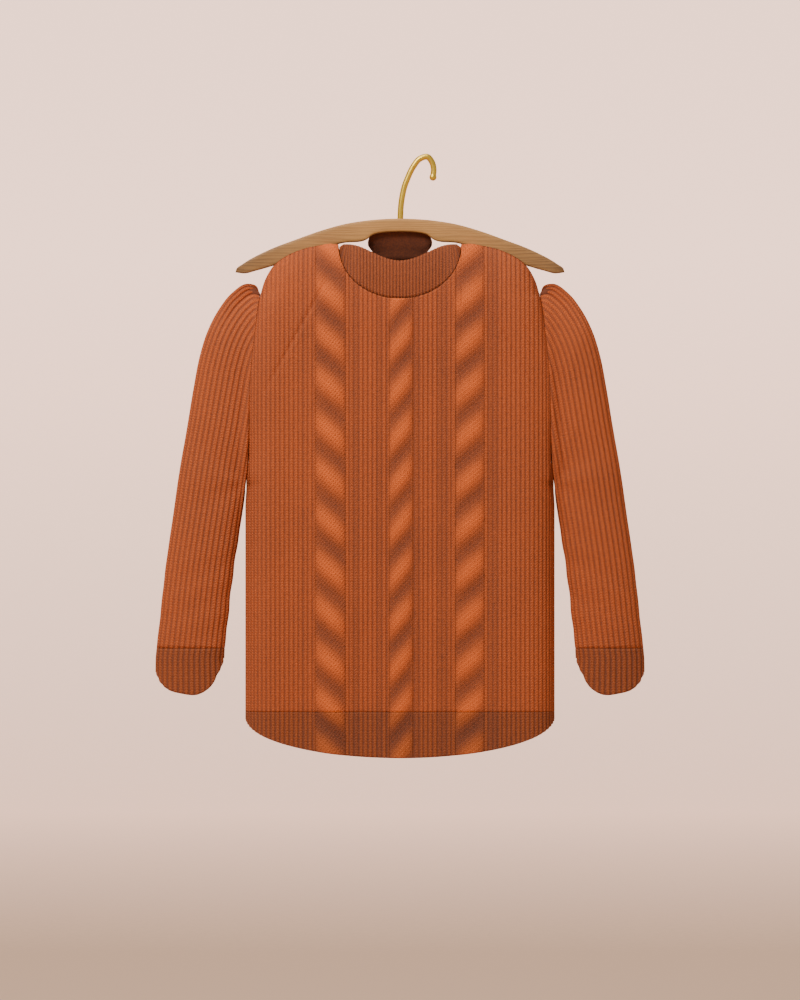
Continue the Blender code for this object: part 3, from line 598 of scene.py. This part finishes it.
def sleeve_columns():
    """(share of the width from the outer fold, depth share) of columns at equal girths round a blunt oval:
    its depth is the sine to the power SLEEVE_BLUNT. The last column repeats the first."""
    half = SLEEVE_RIBS * TUBE_COLUMNS_PER_RIB // 2
    turn = np.linspace(0.0, math.pi, 800)
    depth = SLEEVE_HALF_DEPTH * np.sin(turn).clip(0) ** SLEEVE_BLUNT
    girth = lengths_along(np.stack([SLEEVE_WIDTH / 2 * -np.cos(turn), depth], axis=1))
    turn = np.interp(np.linspace(0.0, girth[-1], half + 1), girth, turn)
    share = (1 - np.cos(turn)) / 2
    depth = np.sin(turn).clip(0) ** SLEEVE_BLUNT
    depth[[0, -1]] = 0.0
    return np.append(share, share[-2::-1]), np.append(depth, -depth[-2::-1])


def first_rise(values, at):
    """For each row of values, the place along at where it first goes above 0, between its neighbours."""
    index = np.maximum(np.argmax(values > 0, axis=1), 1)
    row = np.arange(len(values))
    low, high = values[row, index - 1], values[row, index]
    share = np.clip(-low / np.maximum(high - low, 1e-9), 0.0, 1.0)
    return at[index - 1] + share * (at[index] - at[index - 1])


def sleeve_base():
    """The sleeve's grid: each column keeps its distance from the outer fold, starts level at the cuff seam
    and ends on the armhole, where its depth takes the armhole's. The direction square to the fold turns no
    faster than on a circle wider than the sleeve, so the columns don't cross at the cap."""
    slope = np.gradient(SLEEVE_FOLD, SLEEVE_FOLD_AT, axis=0)
    inward = np.stack([-slope[:, 1], slope[:, 0]], axis=1)
    inward *= -np.sign(inward[0, 0])
    angle = np.unwrap(np.arctan2(inward[:, 1], inward[:, 0]))
    most = np.diff(SLEEVE_FOLD_AT) / SLEEVE_TURN_RADIUS
    angle = angle[0] + np.append(0.0, np.cumsum(np.clip(np.diff(angle), -most, most)))
    inward = np.stack([np.cos(angle), np.sin(angle)], axis=1)
    share, depth = sleeve_columns()
    path = SLEEVE_FOLD + inward * (share * SLEEVE_WIDTH)[:, None, None]
    x, z = path[..., 0], path[..., 1]
    start = first_rise(z - CUFF_SEAM_Z - HALF_GAP, SLEEVE_FOLD_AT)
    beyond = np.minimum(side_half_width(z) + armhole_gap(z) - x, z - UNDERARM_Z)
    beyond[:, -1] = np.maximum(beyond[:, -1], 1e-6)
    end = first_rise(beyond, SLEEVE_FOLD_AT)
    fraction = 1 - np.linspace(1.0, 0.0, SLEEVE_ROWS + 1)[:, None] ** 1.3
    at = start + (end - start) * fraction
    fold_u, fold_z = read_at(at, SLEEVE_FOLD_AT, SLEEVE_FOLD)
    in_u, in_z = read_at(at, SLEEVE_FOLD_AT, inward)
    u, z = fold_u + in_u * share * SLEEVE_WIDTH, fold_z + in_z * share * SLEEVE_WIDTH
    u[-1] = side_half_width(z[-1]) + armhole_gap(z[-1])
    armhole = edge_depth(np.clip(z[-1], UNDERARM_Z, NOTCH_Z))
    near = ease(1 - (at[-1] - at) / ARMHOLE_BLEND)
    base = SLEEVE_HALF_DEPTH * np.abs(depth)
    y = np.where(np.abs(depth) > 1e-6, base + (armhole - base) * near, 0.0)
    return np.stack([u, -np.sign(depth) * y, z], axis=-1), at, share


def tube_normals(grid):
    """Outward directions on a tube whose last column repeats its first."""
    body = grid[:, :-1]
    around = np.roll(body, -1, axis=1) - np.roll(body, 1, axis=1)
    normal = unit(np.cross(np.gradient(body, axis=0), around))
    outward = ((body - body.mean(axis=1, keepdims=True)) * normal).sum() >= 0
    return wrapped(normal if outward else -normal)


def tube_ribs(columns, rib_height):
    """(height, relief, rib count) round a tube with a crest on every rib. The relief colours each crest
    with a painted highlight and each groove with painted shade.
    """
    turn = np.arange(columns) / TUBE_COLUMNS_PER_RIB
    relief = crests(turn)
    return rib_height * relief**RIB_POWER, relief, turn


def sleeve_folds(grid, share, depth_side):
    """The sleeve's fan of creases and its slack rolls, in mm."""
    u, z = grid[..., 0], grid[..., 2]
    away = np.hypot(u - HALF_WIDTH, z - UNDERARM_Z)
    turn = np.arctan2(z - UNDERARM_Z, u - HALF_WIDTH)
    fan = FAN_DEPTH * np.cos(FAN_CREASES * turn + 0.8 * depth_side)
    fan = fan * ease((FAN_REACH - away) / 110.0) * ease(away / 25.0)
    low = z + ROLL_LEAN * (u - ROLL_CREST[0])
    rolls = ROLL_DEPTH * np.cos(2 * math.pi * (low - ROLL_CREST[1]) / ROLL_LENGTH)
    rolls *= ease((ROLL_TOP_Z - low) / 60.0) * ease((low - ROLL_LOW_Z) / 40.0)
    ends = ease((z - CUFF_SEAM_Z) / 12.0)
    return (fan + rolls * (0.4 + 0.6 * share)) * ends


def tube(name, outer, inner, side, turn, along, relief, purl, finish):
    """A closed tube's shell: turn counts its ribs, and its courses follow the length along. side is 1 for
    the wearer's left and -1 for the right."""
    uv = np.stack(np.broadcast_arrays(turn, along / COURSE), axis=-1)
    mirror = (side, 1.0, 1.0)
    return shell(name, outer * mirror, inner * mirror, uv, relief, purl, True, finish)


def sleeve(name, sizes, side, finish):
    """The sleeve's shell: ribs and folds fade towards the armhole, whose edge stays on the seam."""
    base, at, share = sleeve_base()
    normal = tube_normals(base)
    ribs, relief, turn = tube_ribs(base.shape[1], sizes.rib_rise / MM)
    to_end = (at[-1] - at) / 16.0
    fade = ease(to_end)
    slack = sleeve_folds(base, share, np.sign(base[..., 1])) * ease(to_end / 2)
    outer = base + normal * (ribs * fade + slack)[..., None]
    inner = base + normal * (slack - WALL)[..., None]
    outer[-1, :, 0] = base[-1, :, 0]
    inner[-1, :, 0] = side_half_width(inner[-1, :, 2]) + armhole_gap(inner[-1, :, 2])
    outer[0, :, 2] = inner[0, :, 2] = base[0, :, 2]
    return tube(name, outer, inner, side, turn, at, relief, 0.0, finish)


def cuff(name, sizes, side, finish):
    """The cuff below its seam. Its free rim dips at the middle and rises on the inner side."""
    top = sleeve_base()[0][0]
    heights, outer_edge, inner_edge = np.array(CUFF_EDGES).T
    share = (top[:, 0].max() - top[:, 0]) / np.ptp(top[:, 0])
    rim = smooth_curve(CUFF_RIM)
    low = np.interp(outer_edge[0] * (1 - share) + inner_edge[0] * share, rim[:, 0], rim[:, 1])
    step = np.linspace(1.0, 0.0, CUFF_ROWS + 1)[:, None]
    z = CUFF_SEAM_Z - HALF_GAP + (low - CUFF_SEAM_Z) * step
    u = np.interp(z, heights, outer_edge) * (1 - share) + np.interp(z, heights, inner_edge) * share
    u += (top[:, 0] - (outer_edge[-1] * (1 - share) + inner_edge[-1] * share)) * (1 - step)
    base = np.stack([u, top[:, 1] * (1 - 0.06 * step), z], axis=-1)
    normal = tube_normals(base)
    ribs, relief, turn = tube_ribs(base.shape[1], sizes.rib_rise / MM)
    outer = base + normal * ribs[None, :, None]
    inner = base - normal * WALL
    outer[-1, :, 2] = inner[-1, :, 2] = base[-1, :, 2]
    return tube(name, outer, inner, side, turn, z, relief, 0.0, finish)


# Neckband


def neck_half(drop, count, back):
    """Rows from the seam to the rim, for stations across the front or the back of the neck."""
    reach = NECK_HALF_WIDTH - NECK_INSET
    seam_x = np.linspace(-reach, reach, count)
    if back:
        half = smooth_curve(BACK_RIM)
        along = lengths_along(half)
        tab_neck = along[np.argmin(np.linalg.norm(half - BACK_RIM[TAB_NECK], axis=1))]
        place = np.interp(np.abs(seam_x), (0.0, TAB_NECK_SEAM, reach), (0.0, tab_neck, along[-1]))
        rim_x, rim_z = read_at(place, along, half)
        rim_x *= np.sign(seam_x)
    else:
        squeeze = ease((np.abs(seam_x) - SQUEEZE_FROM) / (reach - SQUEEZE_FROM))
        rim_x = seam_x - np.sign(seam_x) * squeeze * (reach - FRONT_RIM_END)
        bell = np.clip(1 - (rim_x / FRONT_RIM_HALF_WIDTH) ** 2, 0.0, 1.0) ** FRONT_RIM_POWER
        rim_z = FRONT_RIM_TOP_Z - FRONT_RIM_DROP * bell
    seam_z = neck_seam(seam_x, drop, NECK_INSET)
    step = np.linspace(0.0, 1.0, NECK_ROWS + 1)[:, None]
    x, z = seam_x + (rim_x - seam_x) * step, seam_z + (rim_z - seam_z) * step
    y = body_depth(x, z)
    if back:
        y = np.maximum(y, BOARD_FACE + SEAM_GAP + WALL * np.minimum(1.0, 2 * step))
    return np.stack([x, y if back else -y, z], axis=-1)


def neckband(name, sizes, finish):
    """The doubled rib: front and back halves and the two bridges under the board, once round."""
    count = round(2 * NECK_HALF_WIDTH / NECK_RIB_PITCH) * TUBE_COLUMNS_PER_RIB + 1
    front = neck_half(FRONT_NECK_DROP, count, False)
    back = neck_half(BACK_NECK_DROP, count, True)[:, ::-1]
    share = np.linspace(0.0, 1.0, TUBE_COLUMNS_PER_RIB + 1)[1:-1, None]
    ends = ((front[:, -1:], back[:, :1]), (back[:, -1:], front[:, :1]))
    bridges = [first + (last - first) * share for first, last in ends]
    base = np.concatenate([front, bridges[0], back, bridges[1], front[:, :1]], axis=1)
    normal = tube_normals(base)
    ribs, relief, turn = tube_ribs(base.shape[1], 0.8 * sizes.rib_rise / MM)
    rows = base.shape[0]
    near_board = ease((np.abs(base[..., 0]) - NECK_FLAT_FROM) / NECK_FLAT_EASE)
    rolled = NECK_ROLL * np.sin(math.pi * np.linspace(0.0, 1.0, rows))[:, None] * (1 - near_board)
    outer = base + normal * (ribs * (1 - 0.8 * near_board) + rolled)[..., None]
    inner = base + normal * (rolled - WALL)[..., None]
    along = lengths_along(base[:, base.shape[1] // 6])[:, None]
    return tube(name, outer, inner, 1.0, turn, along, relief, NECK_PURL, finish)


# Hanger


def both_halves(table, station):
    """A curve of the board from tip to tip, at shares of the way from its middle to a tip."""
    curve = smooth_curve(table)
    at = lengths_along(curve)
    half = np.stack(read_at(station, at / at[-1], curve), axis=1)
    return np.concatenate([half[::-1] * (-1, 1), half[1:]])


def board(name, finish):
    """The board: rounded rectangular sections between its top and underside curves. Each section is a
    superellipse, and the sections shrink towards the two tips."""
    station = np.sin(np.linspace(0.0, math.pi / 2, BOARD_STATIONS))
    upper, lower = both_halves(BOARD_TOP, station), both_halves(BOARD_UNDERSIDE, station)
    middle, reach = (upper + lower) / 2, (upper - lower) / 2
    tall = np.linalg.norm(reach, axis=1)
    turn = np.linspace(0.0, 2 * math.pi, BOARD_AROUND, endpoint=False)
    up, out = (np.sign(wave) * np.abs(wave) ** BOARD_BLUNT for wave in (np.sin(turn), np.cos(turn)))
    thick = BOARD_HALF_THICK * np.sqrt(np.clip(tall / BOARD_HALF_THICK, 0.0, 1.0))
    flat = middle[:, None] + reach[:, None] * up[None, :, None]
    y = thick[:, None] * out[None]
    rings = np.stack([flat[..., 0] + CENTRE_X, y, flat[..., 1]], axis=-1)
    return solid_of_rings(name, rings, finish)


def hook(name, finish):
    """The wire: circles carried along the route, which swell to a round tip and close on it."""
    route = smooth_curve(HOOK_ROUTE, 14)
    at = lengths_along(route)
    end = at[-1]
    turn = np.linspace(-0.95 * math.pi / 2, math.pi / 2 * 0.98, TIP_RINGS)
    kept = at < end - TIP_RADIUS
    place = np.concatenate([at[kept], end + TIP_RADIUS * np.sin(turn)])
    radius = np.concatenate([np.full(kept.sum(), WIRE_RADIUS), np.maximum(TIP_RADIUS * np.cos(turn), 0.05)])
    radius = np.where(place < end, np.maximum(radius, WIRE_RADIUS), radius)
    tangent = unit(np.gradient(route, at, axis=0))
    past = np.maximum(place - end, 0.0)
    x, z = (value + past * end_way for value, end_way in zip(read_at(place, at, route), tangent[-1]))
    tx, tz = read_at(place, at, tangent)
    around = np.linspace(0.0, 2 * math.pi, WIRE_AROUND, endpoint=False)
    side, out = np.cos(around) * radius[:, None], np.sin(around) * radius[:, None]
    rings = np.stack([x[:, None] - tz[:, None] * side, out, z[:, None] + tx[:, None] * side], axis=-1)
    return solid_of_rings(name, rings, finish)


# Finishes


class Value:
    """A number in a finish's nodes. Arithmetic on it adds Math nodes and gives a new Value."""

    def __init__(self, finish, socket):
        self.finish = finish
        self.socket = socket

    def __add__(self, other):
        return self.finish.maths("ADD", self, other)

    __radd__ = __add__

    def __sub__(self, other):
        return self.finish.maths("SUBTRACT", self, other)

    def __rsub__(self, other):
        return self.finish.maths("SUBTRACT", other, self)

    def __mul__(self, other):
        return self.finish.maths("MULTIPLY", self, other)

    __rmul__ = __mul__

    def __truediv__(self, other):
        return self.finish.maths("DIVIDE", self, other)


class Finish:
    """A material under construction: node() adds any node, and its answers go into other nodes' sockets."""

    def __init__(self, name):
        self.material = bpy.data.materials.new(name)
        self.material.use_nodes = True
        self.tree = self.material.node_tree
        self.shader = self.tree.nodes["Principled BSDF"]

    def node(self, kind, settings=None, **inputs):
        """Adds a node: settings are set first, then each socket gets a value or a link. A socket is named
        by its words with _ for a space, or by its number after an i."""
        made = self.tree.nodes.new(kind)
        for word, value in (settings or {}).items():
            setattr(made, word, value)
        for word, value in inputs.items():
            key = int(word[1:]) if word[0] == "i" and word[1:].isdigit() else word.replace("_", " ")
            self.plug(made.inputs[key], value)
        return made

    def plug(self, socket, value):
        if isinstance(value, Value):
            value = value.socket
        if isinstance(value, bpy.types.NodeSocket):
            self.tree.links.new(value, socket)
        else:
            socket.default_value = value

    def maths(self, operation, *values):
        inputs = {f"i{number}": value for number, value in enumerate(values)}
        return self.number("ShaderNodeMath", 0, {"operation": operation}, **inputs)

    def clamp(self, value):
        return self.number("ShaderNodeClamp", 0, Value=value)

    def number(self, kind, output, settings=None, **inputs):
        """A node's output as a Value."""
        return Value(self, self.node(kind, settings, **inputs).outputs[output])

    def blend(self, share, first, second):
        """A colour between two colours."""
        made = self.node("ShaderNodeMix", {"data_type": "RGBA"}, i0=share, i6=first, i7=second)
        return made.outputs[2]

    def noise(self, vector, scale, detail, roughness):
        inputs = {"Vector": vector, "Scale": scale, "Detail": detail, "Roughness": roughness}
        return self.number("ShaderNodeTexNoise", "Fac", **inputs)

    def place(self):
        """Places on the piece, in metres."""
        return self.node("ShaderNodeTexCoord").outputs["Object"]

    def stretched(self, place, *scale):
        return self.node("ShaderNodeMapping", Vector=place, Scale=scale).outputs[0]

    def parts(self, vector):
        """The three numbers of a vector."""
        made = self.node("ShaderNodeSeparateXYZ", Vector=vector)
        return tuple(Value(self, part) for part in made.outputs)

    def bump(self, height, distance):
        return self.node("ShaderNodeBump", Height=height, Distance=distance, Strength=1.0).outputs[0]

    def done(self, **sockets):
        for word, value in sockets.items():
            self.plug(self.shader.inputs[word.replace("_", " ")], value)
        return self.material


def shade(colour, red, green, blue):
    """A colour with each channel multiplied, up to 1."""
    return tuple(min(1.0, channel * factor) for channel, factor in zip(colour, (red, green, blue))) + (1.0,)


def knit_finish(name, colour):
    """Wool rib: V stitches along each wale, with painted light on their legs and painted shade between
    them, painted highlight on crests and cable lobes, painted shade in grooves and on the inside, darker
    purl bands, fuzz, and uneven dye.
    """
    finish = Finish(name)
    place = finish.place()
    knit = finish.node("ShaderNodeUVMap", {"uv_map": "knit"}).outputs[0]
    wale, course, _ = finish.parts(knit)
    relief = finish.number("ShaderNodeAttribute", "Fac", {"attribute_name": "relief"})
    purl = finish.number("ShaderNodeAttribute", "Fac", {"attribute_name": "purl"})
    off_crest = finish.maths("ABSOLUTE", finish.maths("FRACT", wale + 0.5) - 0.5) * 2
    leg = finish.maths("COSINE", (course + off_crest * 0.6) * (2 * math.pi)) * 0.5 + 0.5
    crest = 1 - off_crest * off_crest
    split = finish.maths("SMOOTH_MIN", off_crest * 4.0, 1.0, 0.3)
    stitch = leg * crest * split
    fuzz = finish.noise(place, 1500.0, 2.0, 0.7)
    fibres = finish.noise(place, 420.0, 4.0, 0.65)
    dye = finish.noise(place, 9.0, 2.0, 0.5)
    # The relief term paints highlight and shade, and the stitch term paints light and shade on each stitch;
    # fibres and dye vary at random.
    tone = relief * 0.31 + stitch * 0.16 + fibres * 0.55 + dye * 0.16 - purl * 0.03 - 0.245
    # The wool runs from a darkened to a brightened copy of its colour, the ends of its painted shade and
    # highlight.
    cloth = finish.blend(finish.clamp(tone), shade(colour, 0.46, 0.54, 0.53), shade(colour, 2.15, 1.5, 0.5))
    height = stitch * 0.75 + fibres * 0.50 + fuzz * 0.20
    return finish.done(
        Base_Color=cloth,
        Roughness=finish.clamp(0.98 - relief * 0.12),
        Normal=finish.bump(height, 0.0012),
        Sheen_Weight=0.12,
        Sheen_Roughness=0.45,
        Sheen_Tint=shade(colour, 2.2, 1.8, 1.2),
        Specular_IOR_Level=0.08,
    )


def wood_finish(name, light, dark):
    """Oiled hardwood: long grain lines stretched along the board, pores, and darker towards both tips."""
    finish = Finish(name)
    place = finish.place()
    along, _, height = finish.parts(place)
    drift = finish.noise(finish.stretched(place, 1.0, 9.0, 14.0), 7.0, 3.0, 0.5)
    rings = finish.maths("SINE", (height + drift * 0.016) * 1500.0) * 0.5 + 0.5
    pores = finish.noise(finish.stretched(place, 1.0, 22.0, 30.0), 60.0, 3.0, 0.6)
    mottle = finish.noise(place, 14.0, 2.0, 0.5)
    to_end = finish.clamp(finish.maths("ABSOLUTE", along - CENTRE_X * MM) * 4.6)
    tone = rings * 0.22 + pores * 0.50 + mottle * 0.34 + to_end * to_end * 0.62 - 0.27
    colour = finish.blend(finish.clamp(tone), light, dark)
    return finish.done(
        Base_Color=colour,
        Roughness=finish.clamp(0.42 + pores * 0.22),
        Normal=finish.bump(pores * 0.6 + rings * 0.4, 0.00025),
        Coat_Weight=0.05,
        Coat_Roughness=0.35,
        Specular_IOR_Level=0.2,
    )


def brass_finish(name, colour):
    """Polished brass wire with faint drawing lines and a little tarnish."""
    finish = Finish(name)
    place = finish.place()
    tarnish = finish.noise(place, 90.0, 3.0, 0.6)
    lines = finish.noise(finish.stretched(place, 1.0, 1.0, 0.15), 900.0, 2.0, 0.5)
    tone = finish.clamp(tarnish * 1.6 - 0.55)
    return finish.done(
        Base_Color=finish.blend(tone, colour, shade(colour, 0.72, 0.66, 0.5)),
        Metallic=0.85,
        Roughness=finish.clamp(0.26 + tarnish * 0.16 + lines * 0.06),
        Normal=finish.bump(lines, 0.00006),
    )


def backdrop_finish(name, wall, floor):
    """Matt backdrop that glows in its own colour, painted light, and darkens down the wall and on the floor
    towards the front, painted shade.
    """
    finish = Finish(name)
    place = finish.place()
    _, away, height = finish.parts(place)
    grain = finish.noise(place, 60.0, 3.0, 0.6)
    # Painted shade: darker towards the foot of the wall and towards the front of the floor.
    low = finish.clamp((FLOOR_Z + SHADE_HEIGHT - height) / SHADE_HEIGHT)
    near = finish.clamp((WALL_Y - away) / WALL_Y)
    tone = finish.clamp(low * 0.47 + near * 0.80 + grain * 0.06 - 0.03)
    shaded_glow = finish.blend(tone, wall, floor)
    return finish.done(
        # The backdrop glows with its painted colour: painted light on top of what the lamps give.
        Base_Color=shaded_glow,
        Emission_Color=shaded_glow,
        Emission_Strength=1.9,
        Roughness=0.95,
        Specular_IOR_Level=0.1,
    )


# Stage


FLOOR_Z = -1.33
# How far up the wall the painted shade reaches.
SHADE_HEIGHT = 1.6
WALL_Y = 9.0
CAMERA_AWAY = 7.575
CAMERA_LENS = 200.0
SENSOR = 36.0
PICTURE_CENTRE = (CENTRE_X * MM, -0.02, -0.465)
FLOOR_FRONT = -10.0
WALL_TOP = 5.0
BACKDROP_HALF = 11.0
BEND = 1.2
ROOM_COLOUR = (1.0, 0.97, 0.94, 1.0)
LIGHTS = (  # setting that holds the power, place, size, colour
    ("key", (-1.3, -2.3, 1.6), 1.5, (1.0, 0.96, 0.92)),
    ("fill", (2.4, -2.8, -0.2), 2.2, (1.0, 0.97, 0.95)),
    ("top", (-0.3, -0.5, 1.9), 1.6, (1.0, 0.98, 0.96)),
)


def backdrop(name, finish):
    """Floor and wall in one sheet: two straights joined by a quarter circle, carried across."""
    turn = np.linspace(0.0, math.pi / 2, 24)
    curve = np.stack([WALL_Y - BEND + BEND * np.sin(turn), FLOOR_Z + BEND - BEND * np.cos(turn)], axis=1)
    profile = np.concatenate([[(FLOOR_FRONT, FLOOR_Z)], curve, [(WALL_Y, WALL_TOP)]])
    across = np.linspace(-BACKDROP_HALF, BACKDROP_HALF, 13)
    points = np.stack(np.broadcast_arrays(across, profile[:, :1], profile[:, 1:]), axis=-1)
    faces = grid_faces(np.arange(points.size // 3).reshape(points.shape[:2]))
    mesh_object(name, points.reshape(-1, 3), faces.ravel(), np.full(len(faces), 4), finish)


def soft_light(name, place, size, power, colour):
    """A round area light that faces the picture's centre."""
    light = bpy.data.lights.new(name, "AREA")
    light.shape = "DISK"
    light.size = size
    light.energy = power
    light.color = colour
    made = placed(name, light)
    made.location = place
    toward = np.array(PICTURE_CENTRE) - place
    tilt = math.acos(-toward[2] / np.linalg.norm(toward))
    made.rotation_euler = (tilt, 0.0, math.atan2(toward[1], toward[0]) - math.pi / 2)


# Settings


def length(name, description, default):
    return FloatProperty(
        name=name, description=description, default=default, min=0.0, unit="LENGTH", precision=5
    )


def colour(name, description, default):
    return FloatVectorProperty(
        name=name, description=description, default=default, size=4, min=0.0, max=1.0, subtype="COLOR"
    )


def power(name, description, default):
    return FloatProperty(name=name, description=description, default=default, min=0.0, unit="POWER")


class KnitSettings(bpy.types.PropertyGroup):
    rib_pitch: length("Rib pitch", "Distance between the body's ribs", 0.0063)
    rib_rise: length("Rib height", "How far a rib stands out of the knit", 0.0014)
    cable_rise: length("Cable height", "How far a cable's crossing stands out", 0.0046)
    cable_wale: length("Cable wale", "Width of one column of stitches in a cable", 0.0046)
    body: colour("Body wool", "Colour of body and sleeves", (0.418, 0.117, 0.068, 1.0))
    trim: colour("Trim wool", "Colour of neckband, hem and cuffs", (0.290, 0.094, 0.064, 1.0))


class HangerSettings(bpy.types.PropertyGroup):
    light: colour("Light grain", "The wood between its grain lines", (0.58, 0.29, 0.09, 1.0))
    dark: colour("Dark grain", "The wood's grain lines and ends", (0.165, 0.088, 0.038, 1.0))
    brass: colour("Brass", "Colour of the hook", (0.80, 0.53, 0.06, 1.0))


class StageSettings(bpy.types.PropertyGroup):
    wall: colour("Wall", "Colour of the backdrop's wall", (0.96, 0.657, 0.530, 1.0))
    # The floor colour is the darkest end of the backdrop's painted shade.
    floor: colour("Floor", "Colour of the backdrop's floor", (0.28, 0.182, 0.122, 1.0))
    key: power("Key light", "Power of the main light", 95.0)
    fill: power("Fill light", "Power of the side light", 6.0)
    top: power("Top light", "Power of the light above", 24.0)
    world: FloatProperty(name="Room light", description="Strength of the even light", default=0.36)


def dressed(piece, node, slot):
    """The piece takes a CAD node's place and rides on the body; slot is not used."""
    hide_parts(node)
    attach(piece, "root")
    return piece


def cloth(piece, node, slot, flat, area, rests_on):
    """The same for a sheet of cloth; flat and area are not used."""
    dressed(piece, node, slot)
    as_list(rests_on)


def finish_named(name, maker, *colours):
    """The finish of that name, made at its first use."""
    return bpy.data.materials.get(name) or maker(name, *(tuple(each) for each in colours))


def knit_settings(context, shade_name):
    """The sizes of the knit, and the wool of the body or of the trim."""
    sizes = context.scene.sweater_knit
    word, tint = {"body": ("rust_wool", sizes.body), "trim": ("trim_wool", sizes.trim)}[shade_name]
    return sizes, finish_named(word, knit_finish, tint)


SIDES = (("left", 1.0), ("right", -1.0))


class SWEATER_OT_body(bpy.types.Operator):
    """Knit the front with its three cables, and the plain ribbed back"""

    bl_idname = "sweater.body"
    bl_label = "Front and back"

    def execute(self, context):
        sizes, wool = knit_settings(context, "body")
        seam = level(HEM_SEAM_Z + HALF_GAP)
        front = ("front", FRONT_NECK_DROP, BODY_ROWS, CABLES, False, 0.26)
        back = ("back", BACK_NECK_DROP, BACK_ROWS, (), True, 0.27)
        for word, drop, rows, cables, behind, area in (front, back):
            made = panel(f"knit_{word}", sizes, panel_top(drop), seam, rows, cables, behind, wool)
            cloth(made, f"body_{word}", "body_knit", (0.46, 0.64), area, "hanger")
        return {"FINISHED"}


class SWEATER_OT_hem(bpy.types.Operator):
    """Knit the darker hem band, front and back"""

    bl_idname = "sweater.hem"
    bl_label = "Hem band"

    def execute(self, context):
        sizes, wool = knit_settings(context, "trim")
        seam = level(HEM_SEAM_Z - HALF_GAP)
        for word, cables, back in (("front", CABLES, False), ("back", (), True)):
            made = panel(f"rib_hem_{word}", sizes, seam, hem_bottom, HEM_ROWS, cables, back, wool)
            cloth(made, f"hem_{word}", "rib_trim", (0.46, 0.063), 0.024, f"body_{word}")
        return {"FINISHED"}


class SWEATER_OT_sleeves(bpy.types.Operator):
    """Knit both sleeves as tubes from cuff seam to armhole"""

    bl_idname = "sweater.sleeves"
    bl_label = "Sleeves"

    def execute(self, context):
        sizes, wool = knit_settings(context, "body")
        for word, side in SIDES:
            made = sleeve(f"knit_sleeve_{word}", sizes, side, wool)
            cloth(made, f"sleeve_{word}", "body_knit", (0.24, 0.53), 0.095, "body_front")
        return {"FINISHED"}


class SWEATER_OT_cuffs(bpy.types.Operator):
    """Knit both ribbed cuffs"""

    bl_idname = "sweater.cuffs"
    bl_label = "Cuffs"

    def execute(self, context):
        sizes, wool = knit_settings(context, "trim")
        for word, side in SIDES:
            made = cuff(f"rib_cuff_{word}", sizes, side, wool)
            cloth(made, f"cuff_{word}", "rib_trim", (0.225, 0.063), 0.0118, f"sleeve_{word}")
        return {"FINISHED"}


class SWEATER_OT_neckband(bpy.types.Operator):
    """Knit the ribbed neckband, which passes under the board"""

    bl_idname = "sweater.neckband"
    bl_label = "Neckband"

    def execute(self, context):
        sizes, wool = knit_settings(context, "trim")
        made = neckband("rib_neckband", sizes, wool)
        cloth(made, "neckband", "rib_trim", (0.43, 0.053), 0.0135, "body_front")
        return {"FINISHED"}


class SWEATER_OT_hanger(bpy.types.Operator):
    """Shape the wooden board and bend the brass hook"""

    bl_idname = "sweater.hanger"
    bl_label = "Hanger and hook"

    def execute(self, context):
        colours = context.scene.sweater_hanger
        wood = finish_named("oiled_wood", wood_finish, colours.light, colours.dark)
        brass = finish_named("drawn_brass", brass_finish, colours.brass)
        dressed(board("wood_board", wood), "hanger", "hanger_wood")
        dressed(hook("brass_hook", brass), "hook", "hook_brass")
        return {"FINISHED"}


class SWEATER_OT_stage(bpy.types.Operator):
    """Set the pale backdrop, the soft studio lights and the camera straight in front"""

    bl_idname = "sweater.stage"
    bl_label = "Backdrop, lights and camera"

    def execute(self, context):
        stage = context.scene.sweater_stage
        shaded_glow = finish_named("backdrop_paper", backdrop_finish, stage.wall, stage.floor)
        backdrop("backdrop", shaded_glow)
        for word, place, size, tint in LIGHTS:
            soft_light(f"{word}_light", place, size, getattr(stage, word), tint)
        world = context.scene.world or bpy.data.worlds.new("room")
        context.scene.world = world
        world.use_nodes = True
        background = world.node_tree.nodes["Background"]
        background.inputs["Color"].default_value = ROOM_COLOUR
        background.inputs["Strength"].default_value = stage.world
        data = bpy.data.cameras.new("camera")
        data.sensor_fit = "VERTICAL"
        data.sensor_height = SENSOR
        data.lens = CAMERA_LENS
        data.clip_end = 50.0
        camera = placed("camera", data)
        camera.location = np.subtract(PICTURE_CENTRE, (0.0, CAMERA_AWAY, 0.0))
        camera.rotation_euler = (math.pi / 2, 0.0, 0.0)
        context.scene.camera = camera
        return {"FINISHED"}


STEPS = (
    SWEATER_OT_body, SWEATER_OT_hem, SWEATER_OT_sleeves, SWEATER_OT_cuffs, SWEATER_OT_neckband,
    SWEATER_OT_hanger, SWEATER_OT_stage,
)


class SWEATER_PT_panel(bpy.types.Panel):
    """The sweater's pieces, each with its button"""

    bl_label = "Fisherman sweater"
    bl_idname = "SWEATER_PT_panel"
    bl_space_type = "VIEW_3D"
    bl_region_type = "UI"
    bl_category = "Sweater"

    def draw(self, context):
        for word, kind in SETTINGS.items():
            for each in kind.__annotations__:
                self.layout.prop(getattr(context.scene, word), each)
        for step in STEPS:
            self.layout.operator(step.bl_idname)


SETTINGS = {"sweater_knit": KnitSettings, "sweater_hanger": HangerSettings, "sweater_stage": StageSettings}
CLASSES = (*SETTINGS.values(), *STEPS, SWEATER_PT_panel)


def register():
    for each in CLASSES:
        bpy.utils.register_class(each)
    for word, kind in SETTINGS.items():
        setattr(bpy.types.Scene, word, PointerProperty(type=kind))


def unregister():
    for word in SETTINGS:
        delattr(bpy.types.Scene, word)
    for each in reversed(CLASSES):
        bpy.utils.unregister_class(each)


def main():
    register()
    bpy.ops.sweater.body()
    bpy.ops.sweater.hem()
    bpy.ops.sweater.sleeves()
    bpy.ops.sweater.cuffs()
    bpy.ops.sweater.neckband()
    bpy.ops.sweater.hanger()
    bpy.ops.sweater.stage()
    bpy.context.view_layer.update()


if __name__ == "__main__":
    main()
